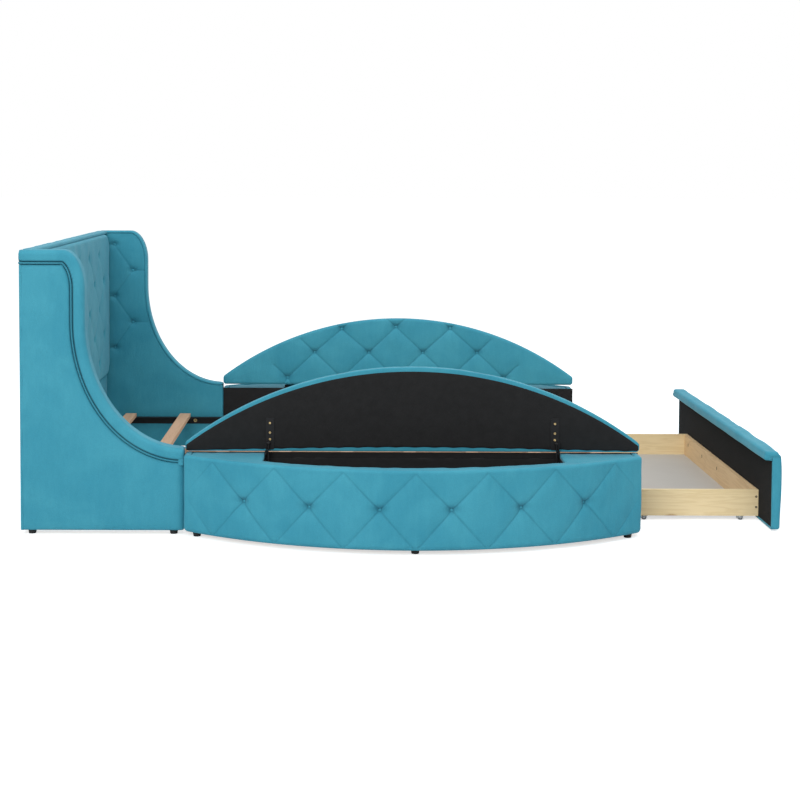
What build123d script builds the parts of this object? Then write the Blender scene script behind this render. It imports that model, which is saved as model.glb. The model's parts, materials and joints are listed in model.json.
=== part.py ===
from build123d import *
import math
import os

# Upholstered platform bed for a queen mattress, in millimetres.
# X runs from the headboard (low) to the foot (high), Z is up, and the left side is at low Y.
# The model is drawn with the back of the headboard at X = 0 and moved at the end, so that
# the origin lies on the floor under the middle of the bed with its foot drawer pulled out.
# Left-hand pieces are mirror images of right-hand ones.

# Mattress and overall sizes
mattress_width = 1524
mattress_play = 10
head_height = 984
skirt_height = 15
fit_gap = 0.3
overrun = 20

# Tufting, shared by all padded faces
tuft_pitch = 240
tuft_rise = 116
pleat_width = 17
pleat_depth = 6
dimple_radius = 27
dimple_depth = 11
button_radius = 11
button_height = 7
button_edge = 3

# Headboard between the wings
back_cover_thick = 10
head_frame_thick = 22
head_frame_rail = 80
head_frame_panel = 9
head_pad_thick = 30
head_pad_bottom = 345
head_pad_gap = 6
head_pad_corner = 70
head_pad_edge = 14
head_cap_thick = 14
head_apron_thick = 14
head_apron_edge = 6
head_apron_top_gap = 4
head_first_row_drop = 94

# Wings
wing_inner_pad_thick = 18
wing_frame_thick = 25
wing_outer_pad_thick = 17
wing_band_proud = 5
wing_front = 225
wing_reach = 562
wing_end_height = 296
shoulder_depth = 76
shoulder_drop = 134
band_width = 42
band_lip = 14
band_edge = 10
piping_radius = 2.5
piping_gap = 0.6
wing_tuft_front = 78
wing_tuft_back = 160
wing_first_row_drop = 61

# Side storage boxes
box_gap = 2
box_length = 1574
box_height = 281
box_end_depth = 76
box_crown_depth = 338
box_board = 12
box_wall = 14.5
box_lining = 1.5
box_pad_thick = 24
box_pad_edge = 17
box_pad_hem = 5
box_end_skin = 4
deck_thick = 15
deck_ledge = 46
deck_wall_strip = 17.5
compartment_half = 510
bow_button_height = 148
bow_pleat_inset = 22

# Lids over the storage boxes
lid_rest_gap = 1
lid_lining_thick = 1.5
lid_board_thick = 15
lid_thick = 38
lid_skin = 6
lid_turn_in = 14
lid_set_back = 32
lid_end_depth = 28
lid_crown_depth = 292
lid_edge = 12
lid_first_row = 34
lid_row_rise = 114
lid_rows = 3
lid_row_inset = 15
lid_open_angle = 88

# Lift hinges
pivot_in = 7.5
pivot_rise = 4
pin_radius = 3
pin_play = 0.1
ear_radius = 6
hinge_steel = 3
bracket_width = 28
bracket_length = 110
bracket_start = 2
bracket_corner = 4
flange_offset = 4
stay_pivot_out = 33
stay_pivot_drop = 16
stay_width = 12
stay_length = 100
stay_offset = 11
plate_depth = 56
plate_top_drop = 25
plate_margin = 12
slot_play = 0.5
rivet_head = 5
screw_hole_radius = 2.2
bracket_holes = 3

# Slatted platform
slat_count = 9
slat_pitch = 243
slat_width = 47
slat_thick = 16
slat_first = 153
slat_top = 164
slat_end_gap = 6
rail_height = 31
rail_flange = 30
rail_steel = 3
rail_end_gap = 2
centre_beam_width = 40
leg_radius = 16
leg_shares = (0.30, 0.60)

# Floor glides
glide_radius = 15
glide_taper = 2.5
wing_glide_inset = 36
box_glide_inset = 46
box_glide_in = 42

# Foot drawer on casters
drawer_gap = 4
drawer_depth = 490
drawer_keep_in = 21
drawer_width = 1160
drawer_ground_gap = 16
drawer_side_height = 95
drawer_board = 15
drawer_bottom_thick = 6
drawer_bottom_rise = 1
drawer_groove = 6
face_half = 745
face_board_thick = 12
face_pad_thick = 18
face_pad_side = 9
face_pad_edge = 8
face_bottom = 15
face_top = 262
lip_radius = 17
lip_reach = 29
lip_outer_reach = 16
lip_drop = 24
lip_edge = 8
lip_outer_edge = 14
caster_back_inset = 78
caster_front_inset = 64
caster_side_inset = 1
caster_length = 28
caster_width = 22
caster_steel = 1.5
caster_cheek = 3
wheel_radius = 7
wheel_width = 11
axle_radius = 2
axle_play = 0.1

# Places worked out from the sizes above
well_half = mattress_width / 2 + mattress_play
wing_frame_in = well_half + wing_inner_pad_thick
wing_frame_out = wing_frame_in + wing_frame_thick
wing_out = wing_frame_out + wing_outer_pad_thick
band_out = wing_out + wing_band_proud
sweep_radius = wing_reach - wing_front
box_start = wing_reach + box_gap
box_end = box_start + box_length
box_mid = (box_start + box_end) / 2
pad_front = back_cover_thick + head_frame_thick + head_pad_thick
lid_rear = well_half + lid_set_back
lid_floor = box_height + lid_rest_gap
pivot_y = lid_rear - pivot_in
pivot_z = box_height + pivot_rise
drawer_travel = drawer_depth - drawer_keep_in
face_closed = box_end + drawer_gap
face_open = face_closed + drawer_travel
overall_length = face_open + face_board_thick + face_pad_thick
slat_floor = slat_top - slat_thick


def block(x_low, x_high, y_low, y_high, z_low, z_high):
    """A box between six limits."""
    size = Box(x_high - x_low, y_high - y_low, z_high - z_low)
    return Pos((x_low + x_high) / 2, (y_low + y_high) / 2, (z_low + z_high) / 2) * size


def slab(face, y_low, y_high):
    """A plate of an outline drawn in X and Z, between two Y values."""
    return extrude(Plane.XZ.offset(-y_high) * face, amount=y_high - y_low)


def plate(face, z_low, z_high):
    """A plate of an outline drawn in X and Y, between two heights."""
    return extrude(Pos(0, 0, z_low) * face, amount=z_high - z_low)


def rod(start, end, radius):
    """A round bar from one point to another."""
    path = Vector(*end) - Vector(*start)
    return Plane(origin=start, z_dir=path) * Cylinder(
        radius, path.length, align=(Align.CENTER, Align.CENTER, Align.MIN)
    )


def left_of(shape):
    """The mirror image on the left side of the bed."""
    return mirror(shape, about=Plane.XZ)


def pleat(start, end, outward):
    """The wedge that one sewn pleat takes out of a pad, from start to end on its face."""
    start, end, outward = Vector(*start), Vector(*end), Vector(*outward)
    run = end - start
    across = outward.cross(run.normalized())
    wedge = Polyline(
        (-pleat_width, pleat_depth), (pleat_width, pleat_depth), (0, -pleat_depth), close=True
    )
    frame = Plane(origin=start, x_dir=across, z_dir=run)
    return extrude(frame * make_face(wedge), amount=run.length)


def dimple(point, outward):
    """The cone that a buttoned tuft takes out of a pad."""
    frame = Plane(origin=Vector(*point) - Vector(*outward) * dimple_depth, z_dir=outward)
    return frame * Cone(
        button_radius,
        2 * dimple_radius - button_radius,
        2 * dimple_depth,
        align=(Align.CENTER, Align.CENTER, Align.MIN),
    )


def button(point, outward):
    """A covered button seated on the bottom of its dimple."""
    frame = Plane(origin=Vector(*point) - Vector(*outward) * dimple_depth, z_dir=outward)
    body = Cylinder(
        button_radius - fit_gap, button_height, align=(Align.CENTER, Align.CENTER, Align.MIN)
    )
    crown = body.faces().sort_by(Axis.Z)[-1].edges()
    return frame * chamfer(crown, button_edge)


def tuft(pad, tops, pleats, outward):
    """Cut the pleats and dimples of one flat padded face."""
    tools = [pleat(start, end, outward) for start, end in pleats]
    tools += [dimple(point, outward) for point in tops]
    return pad.cut(*tools)


# Headboard

head_face_bottom = head_pad_bottom - head_apron_top_gap
head_pad_half = well_half - head_pad_gap
head_pad_top = head_height - head_cap_thick - fit_gap
head_frame_front = back_cover_thick + head_frame_thick
head_frame_top = head_height - head_cap_thick


def head_tufts():
    """Button places of the headboard pad, row by row from the top, as (Y, Z)."""
    rows = []
    height = head_height - head_first_row_drop
    shifted = False
    while height > head_pad_bottom + tuft_rise / 2:
        first = tuft_pitch / 2 if shifted else 0
        count = math.floor((head_pad_half - tuft_pitch / 3 - first) / tuft_pitch)
        places = [first + step * tuft_pitch for step in range(count + 1)]
        row = sorted({y for place in places for y in (-place, place)})
        rows.append([(y, height) for y in row])
        height -= tuft_rise
        shifted = not shifted
    return rows


def head_pleats(rows):
    """Pleats between neighbouring buttons, and out to the edges of the pad."""
    lines = []
    for upper, lower in zip(rows, rows[1:]):
        for y, z in upper:
            for other_y, other_z in lower:
                if abs(abs(y - other_y) - tuft_pitch / 2) < fit_gap:
                    lines.append(((pad_front, y, z), (pad_front, other_y, other_z)))
    for y, z in rows[0]:
        lines.append(((pad_front, y, z), (pad_front, y, head_pad_top + overrun)))
    for y, z in rows[-1]:
        lines.append(((pad_front, y, z), (pad_front, y, head_pad_bottom - overrun)))
    for row in rows:
        y, z = row[-1]
        edge = head_pad_half + overrun
        lines.append(((pad_front, y, z), (pad_front, edge, z)))
        lines.append(((pad_front, -y, z), (pad_front, -edge, z)))
    return lines


def headboard():
    """The parts between the two wings."""
    frame = block(
        back_cover_thick, head_frame_front, -wing_frame_in, wing_frame_in, skirt_height, head_frame_top
    )
    rail, panel = head_frame_rail, head_frame_panel
    for side in (-1, 1):
        low, high = sorted((side * rail / 2, side * (wing_frame_in - rail)))
        for z_low, z_high in (
            (skirt_height + rail, head_pad_bottom - rail / 2),
            (head_pad_bottom + rail / 2, head_frame_top - rail),
        ):
            frame -= block(
                back_cover_thick, head_frame_front - panel, low, high, z_low, z_high
            )
    cover = block(0, back_cover_thick, -wing_frame_in, wing_frame_in, skirt_height, head_frame_top)
    cap_half = well_half - fit_gap
    cap = block(0, head_frame_front + head_pad_edge, -cap_half, cap_half, head_frame_top, head_height)
    cap = fillet(cap.edges().filter_by(Axis.Y).group_by(Axis.Z)[-1], head_cap_thick / 2)
    rows = head_tufts()
    tops = [(pad_front, y, z) for row in rows for y, z in row]
    height = head_pad_top - head_pad_bottom
    outline = RectangleRounded(2 * head_pad_half, height, head_pad_corner)
    centre = (head_frame_front, 0, (head_pad_top + head_pad_bottom) / 2)
    back_plane = Plane(origin=centre, x_dir=(0, 1, 0), z_dir=(1, 0, 0))
    pad = extrude(back_plane * outline, amount=head_pad_thick)
    pad = fillet(pad.faces().sort_by(Axis.X)[-1].edges(), head_pad_edge)
    pad = tuft(pad, tops, head_pleats(rows), (1, 0, 0))
    apron = block(
        head_frame_front,
        head_frame_front + head_apron_thick,
        -head_pad_half,
        head_pad_half,
        skirt_height,
        head_face_bottom,
    )
    apron = fillet(apron.edges().filter_by(Axis.Y).group_by(Axis.Z)[-1][-1:], head_apron_edge)
    return {
        "headboard_frame": [frame],
        "headboard_back_cover": [cover + cap],
        "headboard_pad": [pad],
        "headboard_apron": [apron],
        "headboard_buttons": [button(top, (1, 0, 0)) for top in tops],
    }


# Wings

def wing_edge(inset, end_inset):
    """The top, shoulder, front and sweep of a wing, as edges from the back to the foot end."""
    reach = wing_reach - end_inset
    front = wing_front - inset
    top = head_height - inset
    shoulder_x = wing_front - shoulder_depth
    shoulder_z = head_height - shoulder_drop
    centre_x = wing_front + sweep_radius
    centre_z = wing_end_height + sweep_radius
    radius = sweep_radius + inset
    end_z = centre_z - math.sqrt(radius**2 - (centre_x - reach) ** 2)
    end_angle = math.degrees(math.atan2(end_z - centre_z, reach - centre_x))
    half_angle = math.radians((end_angle - 180) / 2)
    middle = (centre_x + radius * math.cos(half_angle), centre_z + radius * math.sin(half_angle))
    shoulder = EllipticalCenterArc(
        (shoulder_x, shoulder_z), shoulder_depth - inset, shoulder_drop - inset, 0, arc_size=90
    )
    return [
        Line((0, top), (shoulder_x, top)),
        shoulder,
        Line((front, shoulder_z), (front, centre_z)),
        ThreePointArc((front, centre_z), middle, (reach, end_z)),
    ], (reach, end_z)


def wing_face(inset, end_inset, start=0):
    """The closed outline of a wing, inset from its padded edge."""
    edges, (reach, end_z) = wing_edge(inset, end_inset)
    top = head_height - inset
    edges += [
        Line((reach, end_z), (reach, skirt_height)),
        Line((reach, skirt_height), (0, skirt_height)),
        Line((0, skirt_height), (0, top)),
    ]
    face = make_face(edges)
    if start:
        trim = Pos(start / 2, head_height / 2) * Rectangle(start, head_height + overrun)
        face -= trim
    return face


def wing_band():
    """The padded roll round the edge of a wing, which turns over both faces."""
    body = slab(wing_face(0, 0), well_half, band_out)
    rims = [
        edge
        for edge in body.edges()
        if edge.center().Z > skirt_height + overrun
        and edge.center().X > overrun
        and abs(edge.bounding_box().size.Y) < fit_gap
        and edge.bounding_box().size.X > fit_gap
    ]
    rims += [
        edge
        for edge in body.edges().filter_by(Axis.Z)
        if wing_front - fit_gap < edge.center().X < wing_front + fit_gap
    ]
    body = fillet(rims, band_edge)
    outer = slab(wing_face(band_width, 0), wing_frame_out, band_out + overrun)
    core = slab(wing_face(band_lip, band_lip), well_half - overrun, wing_frame_out)
    return body - outer - core


def wing_buttons():
    """Button places on the inner face of a wing, in two staggered columns."""
    top_row = head_height - wing_first_row_drop
    count = math.floor((top_row - wing_end_height) / tuft_rise)
    places = []
    for row in range(count):
        x = wing_tuft_front if row % 2 == 0 else wing_tuft_back
        places.append((x, well_half, top_row - row * tuft_rise))
    return places


def wing_inner_pad(places):
    """The tufted inner face of a wing, forward of the headboard frame."""
    face = wing_face(band_lip + fit_gap, band_lip + fit_gap, head_frame_front + fit_gap)
    pad = slab(face, well_half, wing_frame_in)
    lines = list(zip(places, places[1:]))
    for place in places[1::2]:
        lines.append((place, (wing_front - band_lip, place[1], place[2])))
    for place in places[0::2]:
        lines.append((place, (head_frame_front, place[1], place[2])))
    return tuft(pad, places, lines, (0, -1, 0))


def wing_piping():
    """The cord sewn between the band and the outer panel of a wing."""
    inset = band_width + piping_gap + piping_radius
    edges, _ = wing_edge(inset, 0)
    path = Plane.XZ.offset(-(wing_out + fit_gap)) * Wire(edges)
    section = Plane(origin=path @ 0, z_dir=path % 0) * Circle(piping_radius)
    return sweep(section, path=path)


def wings():
    """Both wings, with their frames, pads, bands, piping and buttons."""
    frame = slab(wing_face(band_lip + fit_gap, band_lip + fit_gap), wing_frame_in, wing_frame_out)
    frame -= block(-overrun, back_cover_thick, 0, wing_frame_out + overrun, 0, head_height)
    panel_inset = band_width + piping_gap * 2 + piping_radius * 2
    panel = slab(wing_face(panel_inset, 0), wing_frame_out, wing_out)
    panel += block(0, back_cover_thick, wing_frame_in, wing_out, skirt_height, head_height - panel_inset)
    places = wing_buttons()
    pad = wing_inner_pad(places)
    band = wing_band()
    piping = wing_piping()
    buttons = [button(place, (0, -1, 0)) for place in places]
    return {
        "wing_frame_left": [left_of(frame)],
        "wing_frame_right": [frame],
        "wing_outer_panels": [left_of(panel), panel],
        "wing_inner_pad_left": [left_of(pad)],
        "wing_inner_pad_right": [pad],
        "wing_edge_band_left": [left_of(band)],
        "wing_edge_band_right": [band],
        "wing_piping": [left_of(piping), piping],
        "wing_buttons": [left_of(item) for item in buttons] + buttons,
    }


# Side storage boxes

box_half = box_length / 2
bow_rise = box_crown_depth - box_end_depth
bow_radius = (box_half**2 + bow_rise**2) / (2 * bow_rise)
bow_centre = well_half + box_crown_depth - bow_radius
bow_back = box_pad_thick + box_board


def bow_point(along, height):
    """A point on the bowed front, by its distance along the arc from the middle."""
    angle = along / bow_radius
    x = box_mid + bow_radius * math.sin(angle)
    return (x, bow_centre + bow_radius * math.cos(angle), height)


def bow_outward(along):
    """The direction that the bowed front faces at a distance along its arc."""
    angle = along / bow_radius
    return (math.sin(angle), math.cos(angle), 0)


carcass_start = box_start + box_end_skin
carcass_end = box_end - box_end_skin


def bow_face(inset, y_low, x_low=carcass_start, x_high=carcass_end):
    """The plan of a box between a straight back edge and the arc, inset from the arc."""
    disc = Pos(box_mid, bow_centre) * Circle(bow_radius - inset)
    deep = well_half + box_crown_depth
    window = Pos((x_low + x_high) / 2, (y_low + deep) / 2) * Rectangle(x_high - x_low, deep - y_low)
    return disc & window


def box_front_pad():
    """The bowed, tufted front, turned over at its top edge and under the box."""
    low, high = skirt_height, box_height
    inner, outer = bow_radius - box_pad_thick, bow_radius
    section = Polyline((inner, low), (outer, low), (outer, high), (inner, high), close=True)
    face = make_face(Plane.XZ * section)
    arc = math.degrees(2 * math.asin((box_half + overrun) / bow_radius))
    rims = face.vertices().group_by(Axis.X)[-1].sort_by(Axis.Z)
    face = fillet(rims[-1], box_pad_edge)
    face = fillet(face.vertices().sort_by(Axis.Z)[:2].sort_by(Axis.X)[-1], box_pad_hem)
    pad = revolve(face, Axis.Z, arc)
    pad = Pos(box_mid, bow_centre, 0) * Rot(0, 0, 90 - arc / 2) * pad
    pad &= block(box_start, box_end, 0, bow_centre + bow_radius + overrun, 0, head_height)
    for x_low, x_high in ((box_start, carcass_start), (carcass_end, box_end)):
        skin = bow_face(box_pad_thick - fit_gap, well_half + box_lining, x_low, x_high)
        pad += plate(skin, skirt_height, box_height - deck_thick)
    places = bow_buttons()
    tools = [dimple(bow_point(s, bow_button_height), bow_outward(s)) for s in places]
    for s in places:
        for side in (-1, 1):
            for edge_z in (box_height - bow_pleat_inset, skirt_height):
                other = s + side * tuft_pitch / 2
                start = bow_point(s, bow_button_height)
                tools.append(pleat(start, bow_point(other, edge_z), bow_outward((s + other) / 2)))
    return pad.cut(*tools)


def bow_buttons():
    """Distances along the arc of the buttons on a bowed front."""
    half_arc = bow_radius * math.asin(box_half / bow_radius)
    count = math.floor(half_arc / tuft_pitch)
    places = [(step + 1 / 2) * tuft_pitch for step in range(count)]
    return sorted([-place for place in places] + places)


def storage_box():
    """The right-hand box: carcass, lining, deck and padded front."""
    floor_top = skirt_height + box_board
    deck_floor = box_height - deck_thick
    wall_low = well_half + box_lining
    wall_high = wall_low + box_wall
    floor = plate(bow_face(box_pad_thick, wall_low), skirt_height, floor_top)
    wall = block(carcass_start, carcass_end, wall_low, wall_high, floor_top, deck_floor)
    bow = plate(bow_face(box_pad_thick, wall_high) - bow_face(bow_back, wall_high), floor_top, deck_floor)
    cell_low = box_mid - compartment_half - box_lining
    cell_high = box_mid + compartment_half + box_lining
    inside = bow_face(bow_back, wall_high)
    boards = []
    for x_low, x_high in (
        (carcass_start, carcass_start + box_board),
        (cell_low - box_board, cell_low),
        (cell_high, cell_high + box_board),
        (carcass_end - box_board, carcass_end),
    ):
        strip = bow_face(bow_back, wall_high, x_low, x_high)
        boards.append(plate(strip, floor_top, deck_floor))
    cell = bow_face(bow_back, wall_high, cell_low, cell_high)
    hollow = bow_face(
        bow_back + box_lining, wall_high + box_lining, cell_low + box_lining, cell_high - box_lining
    )
    liner = plate(cell, floor_top, deck_floor)
    liner -= plate(hollow, floor_top + box_lining, box_height)
    skin = block(box_start, box_end, well_half, wall_low, skirt_height, deck_floor)
    opening = bow_face(
        box_pad_thick + deck_ledge,
        well_half + deck_wall_strip,
        box_mid - compartment_half,
        box_mid + compartment_half,
    )
    deck_plan = bow_face(box_pad_thick, well_half, box_start, box_end)
    deck = plate(deck_plan - opening, deck_floor, box_height)
    return {
        "box_floor": floor,
        "box_inner_wall": wall,
        "box_bow_panel": bow,
        "box_boards": boards,
        "box_linings": [liner, skin],
        "box_deck": deck,
        "box_front_pad": box_front_pad(),
    }


def storage_boxes():
    """Both boxes, node by node."""
    right = storage_box()
    nodes = {}
    for name in ("box_inner_wall", "box_bow_panel", "box_deck", "box_front_pad"):
        nodes[name + "_left"] = [left_of(right[name])]
        nodes[name + "_right"] = [right[name]]
    boards, linings = right["box_boards"], right["box_linings"]
    nodes["box_floors"] = [left_of(right["box_floor"]), right["box_floor"]]
    nodes["box_cross_boards"] = [left_of(item) for item in boards] + boards
    nodes["box_linings"] = [left_of(item) for item in linings] + linings
    buttons = [button(bow_point(s, bow_button_height), bow_outward(s)) for s in bow_buttons()]
    nodes["box_buttons"] = [left_of(item) for item in buttons] + buttons
    return nodes


# Lids, drawn closed on the right-hand box and then swung open about their hinge pins

lid_half = box_half - box_gap
lid_rise = lid_crown_depth - lid_end_depth
lid_radius = (lid_half**2 + lid_rise**2) / (2 * lid_rise)
lid_centre = lid_rear + lid_crown_depth - lid_radius
lid_top = lid_floor + lid_thick
lid_board_floor = lid_floor + lid_lining_thick
lid_board_top = lid_board_floor + lid_board_thick


def lid_face(inset):
    """The D-shaped plan of a lid, inset from its edge."""
    disc = Pos(box_mid, lid_centre) * Circle(lid_radius - inset)
    low, high = lid_rear + inset, lid_rear + lid_crown_depth
    window = Pos(box_mid, (low + high) / 2) * Rectangle(2 * (lid_half - inset), high - low)
    return disc & window


def lid_arc_y(x):
    """Y of the lid's arc at one X, or of its hinged edge beyond its ends."""
    if abs(x - box_mid) >= lid_half:
        return lid_rear
    return lid_centre + math.sqrt(lid_radius**2 - (x - box_mid) ** 2)


def lid_tufts():
    """Button places of a lid, row by row from its hinged edge."""
    rows = []
    for row in range(lid_rows):
        row_depth = lid_first_row + row * lid_row_rise
        first = 0 if row % 2 == 0 else tuft_pitch / 2
        row_places = []
        for step in range(math.ceil(lid_half / tuft_pitch)):
            for x in {box_mid - first - step * tuft_pitch, box_mid + first + step * tuft_pitch}:
                arc_depth = lid_arc_y(x) - lid_rear
                near_end = abs(x - box_mid) > lid_half - tuft_pitch / 2
                if not near_end and arc_depth - row_depth > lid_row_inset / 2:
                    y = lid_rear + min(row_depth, arc_depth - lid_row_inset)
                    row_places.append((x, y, lid_top))
        rows.append(sorted(row_places))
    return rows


def lid_pleats(rows):
    """Pleats between neighbouring buttons of a lid, and out to its edges."""
    lines = []
    for x, y, z in rows[0]:
        for side in (-1, 1):
            lines.append(((x, y, z), (x + side * lid_first_row, lid_rear - overrun, z)))
    for row, places in enumerate(rows):
        above = rows[row + 1] if row + 1 < len(rows) else []
        for x, y, z in places:
            for side in (-1, 1):
                goal_x = x + side * tuft_pitch / 2
                met = [other for other in above if abs(other[0] - goal_x) < fit_gap]
                goal = met[0] if met else (goal_x, y + lid_row_rise, z)
                if met or lid_arc_y(goal_x) < goal[1]:
                    lines.append(((x, y, z), goal))
    return lines


def swing(shape):
    """Turn a closed right-hand lid part about the hinge pins to its open pose."""
    return Pos(0, pivot_y, pivot_z) * Rot(lid_open_angle, 0, 0) * Pos(0, -pivot_y, -pivot_z) * shape


def hinge_sides():
    """The X of each compartment end wall, and the direction from it into the compartment."""
    return ((box_mid - compartment_half, 1), (box_mid + compartment_half, -1))


def joined_outline(parts):
    """One outline in Y and Z made of the given ones."""
    outline = parts[0]
    for part in parts[1:]:
        outline += part
    return outline


def flat_steel(outline, x_wall, inward, offset):
    """Steel plate cut to an outline in Y and Z, standing off a compartment end wall."""
    x_low = min(x_wall + inward * offset, x_wall + inward * (offset + hinge_steel))
    return extrude(Plane.YZ.offset(x_low) * outline, amount=hinge_steel)


def across(x_wall, inward, near, far, y, z, radius):
    """A pin along X between two distances from a compartment end wall."""
    return rod((x_wall + inward * near, y, z), (x_wall + inward * far, y, z), radius)


def rect(y_low, y_high, z_low, z_high):
    """A rectangle in the plane of Y and Z."""
    return Pos((y_low + y_high) / 2, (z_low + z_high) / 2) * Rectangle(y_high - y_low, z_high - z_low)


stay_y = pivot_y + stay_pivot_out
stay_z = pivot_z - stay_pivot_drop
slot_centre_z = pivot_z - stay_length
slot_radius = math.hypot(stay_pivot_out, stay_pivot_drop)
slot_start = -math.degrees(math.atan2(stay_pivot_drop, stay_pivot_out))


def hinge_plate(x_wall, inward):
    """The fixed plate of a lift hinge, with its ear, its pin and the curved guide slot."""
    foot_z = slot_centre_z - slot_radius / 2 - plate_margin
    neck = rect(pivot_y - ear_radius, pivot_y + ear_radius, pivot_z - plate_top_drop - overrun, pivot_z)
    body = rect(
        pivot_y - ear_radius, pivot_y - ear_radius + plate_depth, foot_z, pivot_z - plate_top_drop
    )
    ear = Pos(pivot_y, pivot_z) * Circle(ear_radius)
    outline = joined_outline([body, neck, ear])
    outline -= Pos(pivot_y, pivot_z) * Circle(pin_radius)
    centre = Pos(pivot_y, slot_centre_z)
    half_width = pin_radius + slot_play
    outer, inner = slot_radius + half_width, slot_radius - half_width
    slot = Circle(outer) - Circle(inner)
    ends = []
    for angle in (slot_start, slot_start + lid_open_angle):
        turn = math.radians(angle)
        place = (slot_radius * math.cos(turn), slot_radius * math.sin(turn))
        ends.append(Pos(*place) * Circle(half_width))
    steps = [slot_start + lid_open_angle * share for share in (0, 1 / 2, 1)]
    reach = slot_radius * 2
    wedge = [(0, 0)]
    for angle in steps:
        turn = math.radians(angle)
        wedge.append((reach * math.cos(turn), reach * math.sin(turn)))
    sector = make_face(Polyline(*wedge, close=True))
    slot = (slot & sector) + ends[0] + ends[1]
    outline -= centre * slot
    for y, z in (
        (pivot_y + plate_depth - ear_radius * 2, pivot_z - plate_top_drop - ear_radius),
        (pivot_y + plate_depth - ear_radius * 2, foot_z + ear_radius),
        (pivot_y + ear_radius, foot_z + ear_radius),
    ):
        outline -= Pos(y, z) * Circle(screw_hole_radius)
    steel = flat_steel(outline, x_wall, inward, 0)
    pin = across(x_wall, inward, 0, 2 * hinge_steel + flange_offset, pivot_y, pivot_z, pin_radius)
    return [steel, pin]


def lid_bracket(x_wall, inward):
    """The bracket under a lid, with the flange that turns on the hinge pin, and its rivet."""
    offset = flange_offset
    low_z = stay_z - ear_radius
    under = lid_floor - fit_gap
    strip = rect(pivot_y - ear_radius, stay_y + ear_radius, low_z, under)
    neck = rect(pivot_y - ear_radius, pivot_y + ear_radius, low_z, pivot_z)
    outline = joined_outline([strip, neck, Pos(pivot_y, pivot_z) * Circle(ear_radius)])
    outline -= Pos(pivot_y, pivot_z) * Circle(pin_radius + pin_play)
    outline -= Pos(stay_y, stay_z) * Circle(pin_radius)
    flange = flat_steel(outline, x_wall, inward, offset)
    near, far = x_wall + inward * offset, x_wall + inward * (offset + bracket_width)
    x_low, x_high = min(near, far), max(near, far)
    y_low = lid_rear + bracket_start
    sheet = block(x_low, x_high, y_low, y_low + bracket_length, under - hinge_steel, under)
    corners = sheet.edges().filter_by(Axis.Z).sort_by(Axis.X)
    sheet = fillet(corners[2:] if inward > 0 else corners[:2], bracket_corner)
    for step in range(bracket_holes):
        y = y_low + bracket_length * (2 * step + 1) / (2 * bracket_holes)
        x = (x_low + x_high) / 2
        sheet -= Pos(x, y, under) * Cylinder(screw_hole_radius, overrun)
    rivet = across(
        x_wall, inward, offset, stay_offset + 2 * hinge_steel, stay_y, stay_z, pin_radius
    )
    head = across(
        x_wall,
        inward,
        stay_offset + hinge_steel + fit_gap,
        stay_offset + 2 * hinge_steel,
        stay_y,
        stay_z,
        rivet_head,
    )
    return [swing(flange + sheet), swing(rivet + head)]


def lid_stay(x_wall, inward):
    """The stay that hangs from a bracket; its guide pin runs in the slot of the fixed plate."""
    turn = math.radians(slot_start + lid_open_angle)
    top_y = pivot_y + slot_radius * math.cos(turn)
    top_z = pivot_z + slot_radius * math.sin(turn)
    low_z = top_z - stay_length
    half = stay_width / 2
    outline = joined_outline(
        [
            rect(top_y - half, top_y + half, low_z, top_z),
            Pos(top_y, top_z) * Circle(half),
            Pos(top_y, low_z) * Circle(half),
        ]
    )
    outline -= Pos(top_y, top_z) * Circle(pin_radius + pin_play)
    bar = flat_steel(outline, x_wall, inward, stay_offset)
    guide = across(x_wall, inward, fit_gap, stay_offset, top_y, low_z, pin_radius)
    return bar + guide


def lids():
    """Both lids and their hinges."""
    body = plate(lid_face(0), lid_floor, lid_top)
    rims = body.faces().sort_by(Axis.Z)[-1].edges()
    body = fillet(rims, lid_edge)
    rows = lid_tufts()
    tops = [place for row in rows for place in row]
    body = tuft(body, tops, lid_pleats(rows), (0, 0, 1))
    board = plate(lid_face(lid_skin), lid_board_floor, lid_board_top)
    lining = plate(lid_face(lid_turn_in + fit_gap), lid_floor, lid_board_floor)
    pad = body - board - plate(lid_face(lid_turn_in), lid_floor, lid_board_floor)
    right = {
        "lid_board": [swing(board)],
        "lid_pad": [swing(pad)],
        "lid_lining": [swing(lining)],
        "lid_buttons": [swing(button(top, (0, 0, 1))) for top in tops],
        "lid_brackets": [item for side in hinge_sides() for item in lid_bracket(*side)],
    }
    for end, side in zip(("head", "foot"), hinge_sides()):
        right["lid_stay_" + end] = [lid_stay(*side)]
    plates = [item for side in hinge_sides() for item in hinge_plate(*side)]
    nodes = {"hinge_plates": [left_of(item) for item in plates] + plates}
    for name, items in right.items():
        nodes[name + "_left"] = [left_of(item) for item in items]
        nodes[name + "_right"] = items
    return nodes


# Slatted platform

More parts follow.
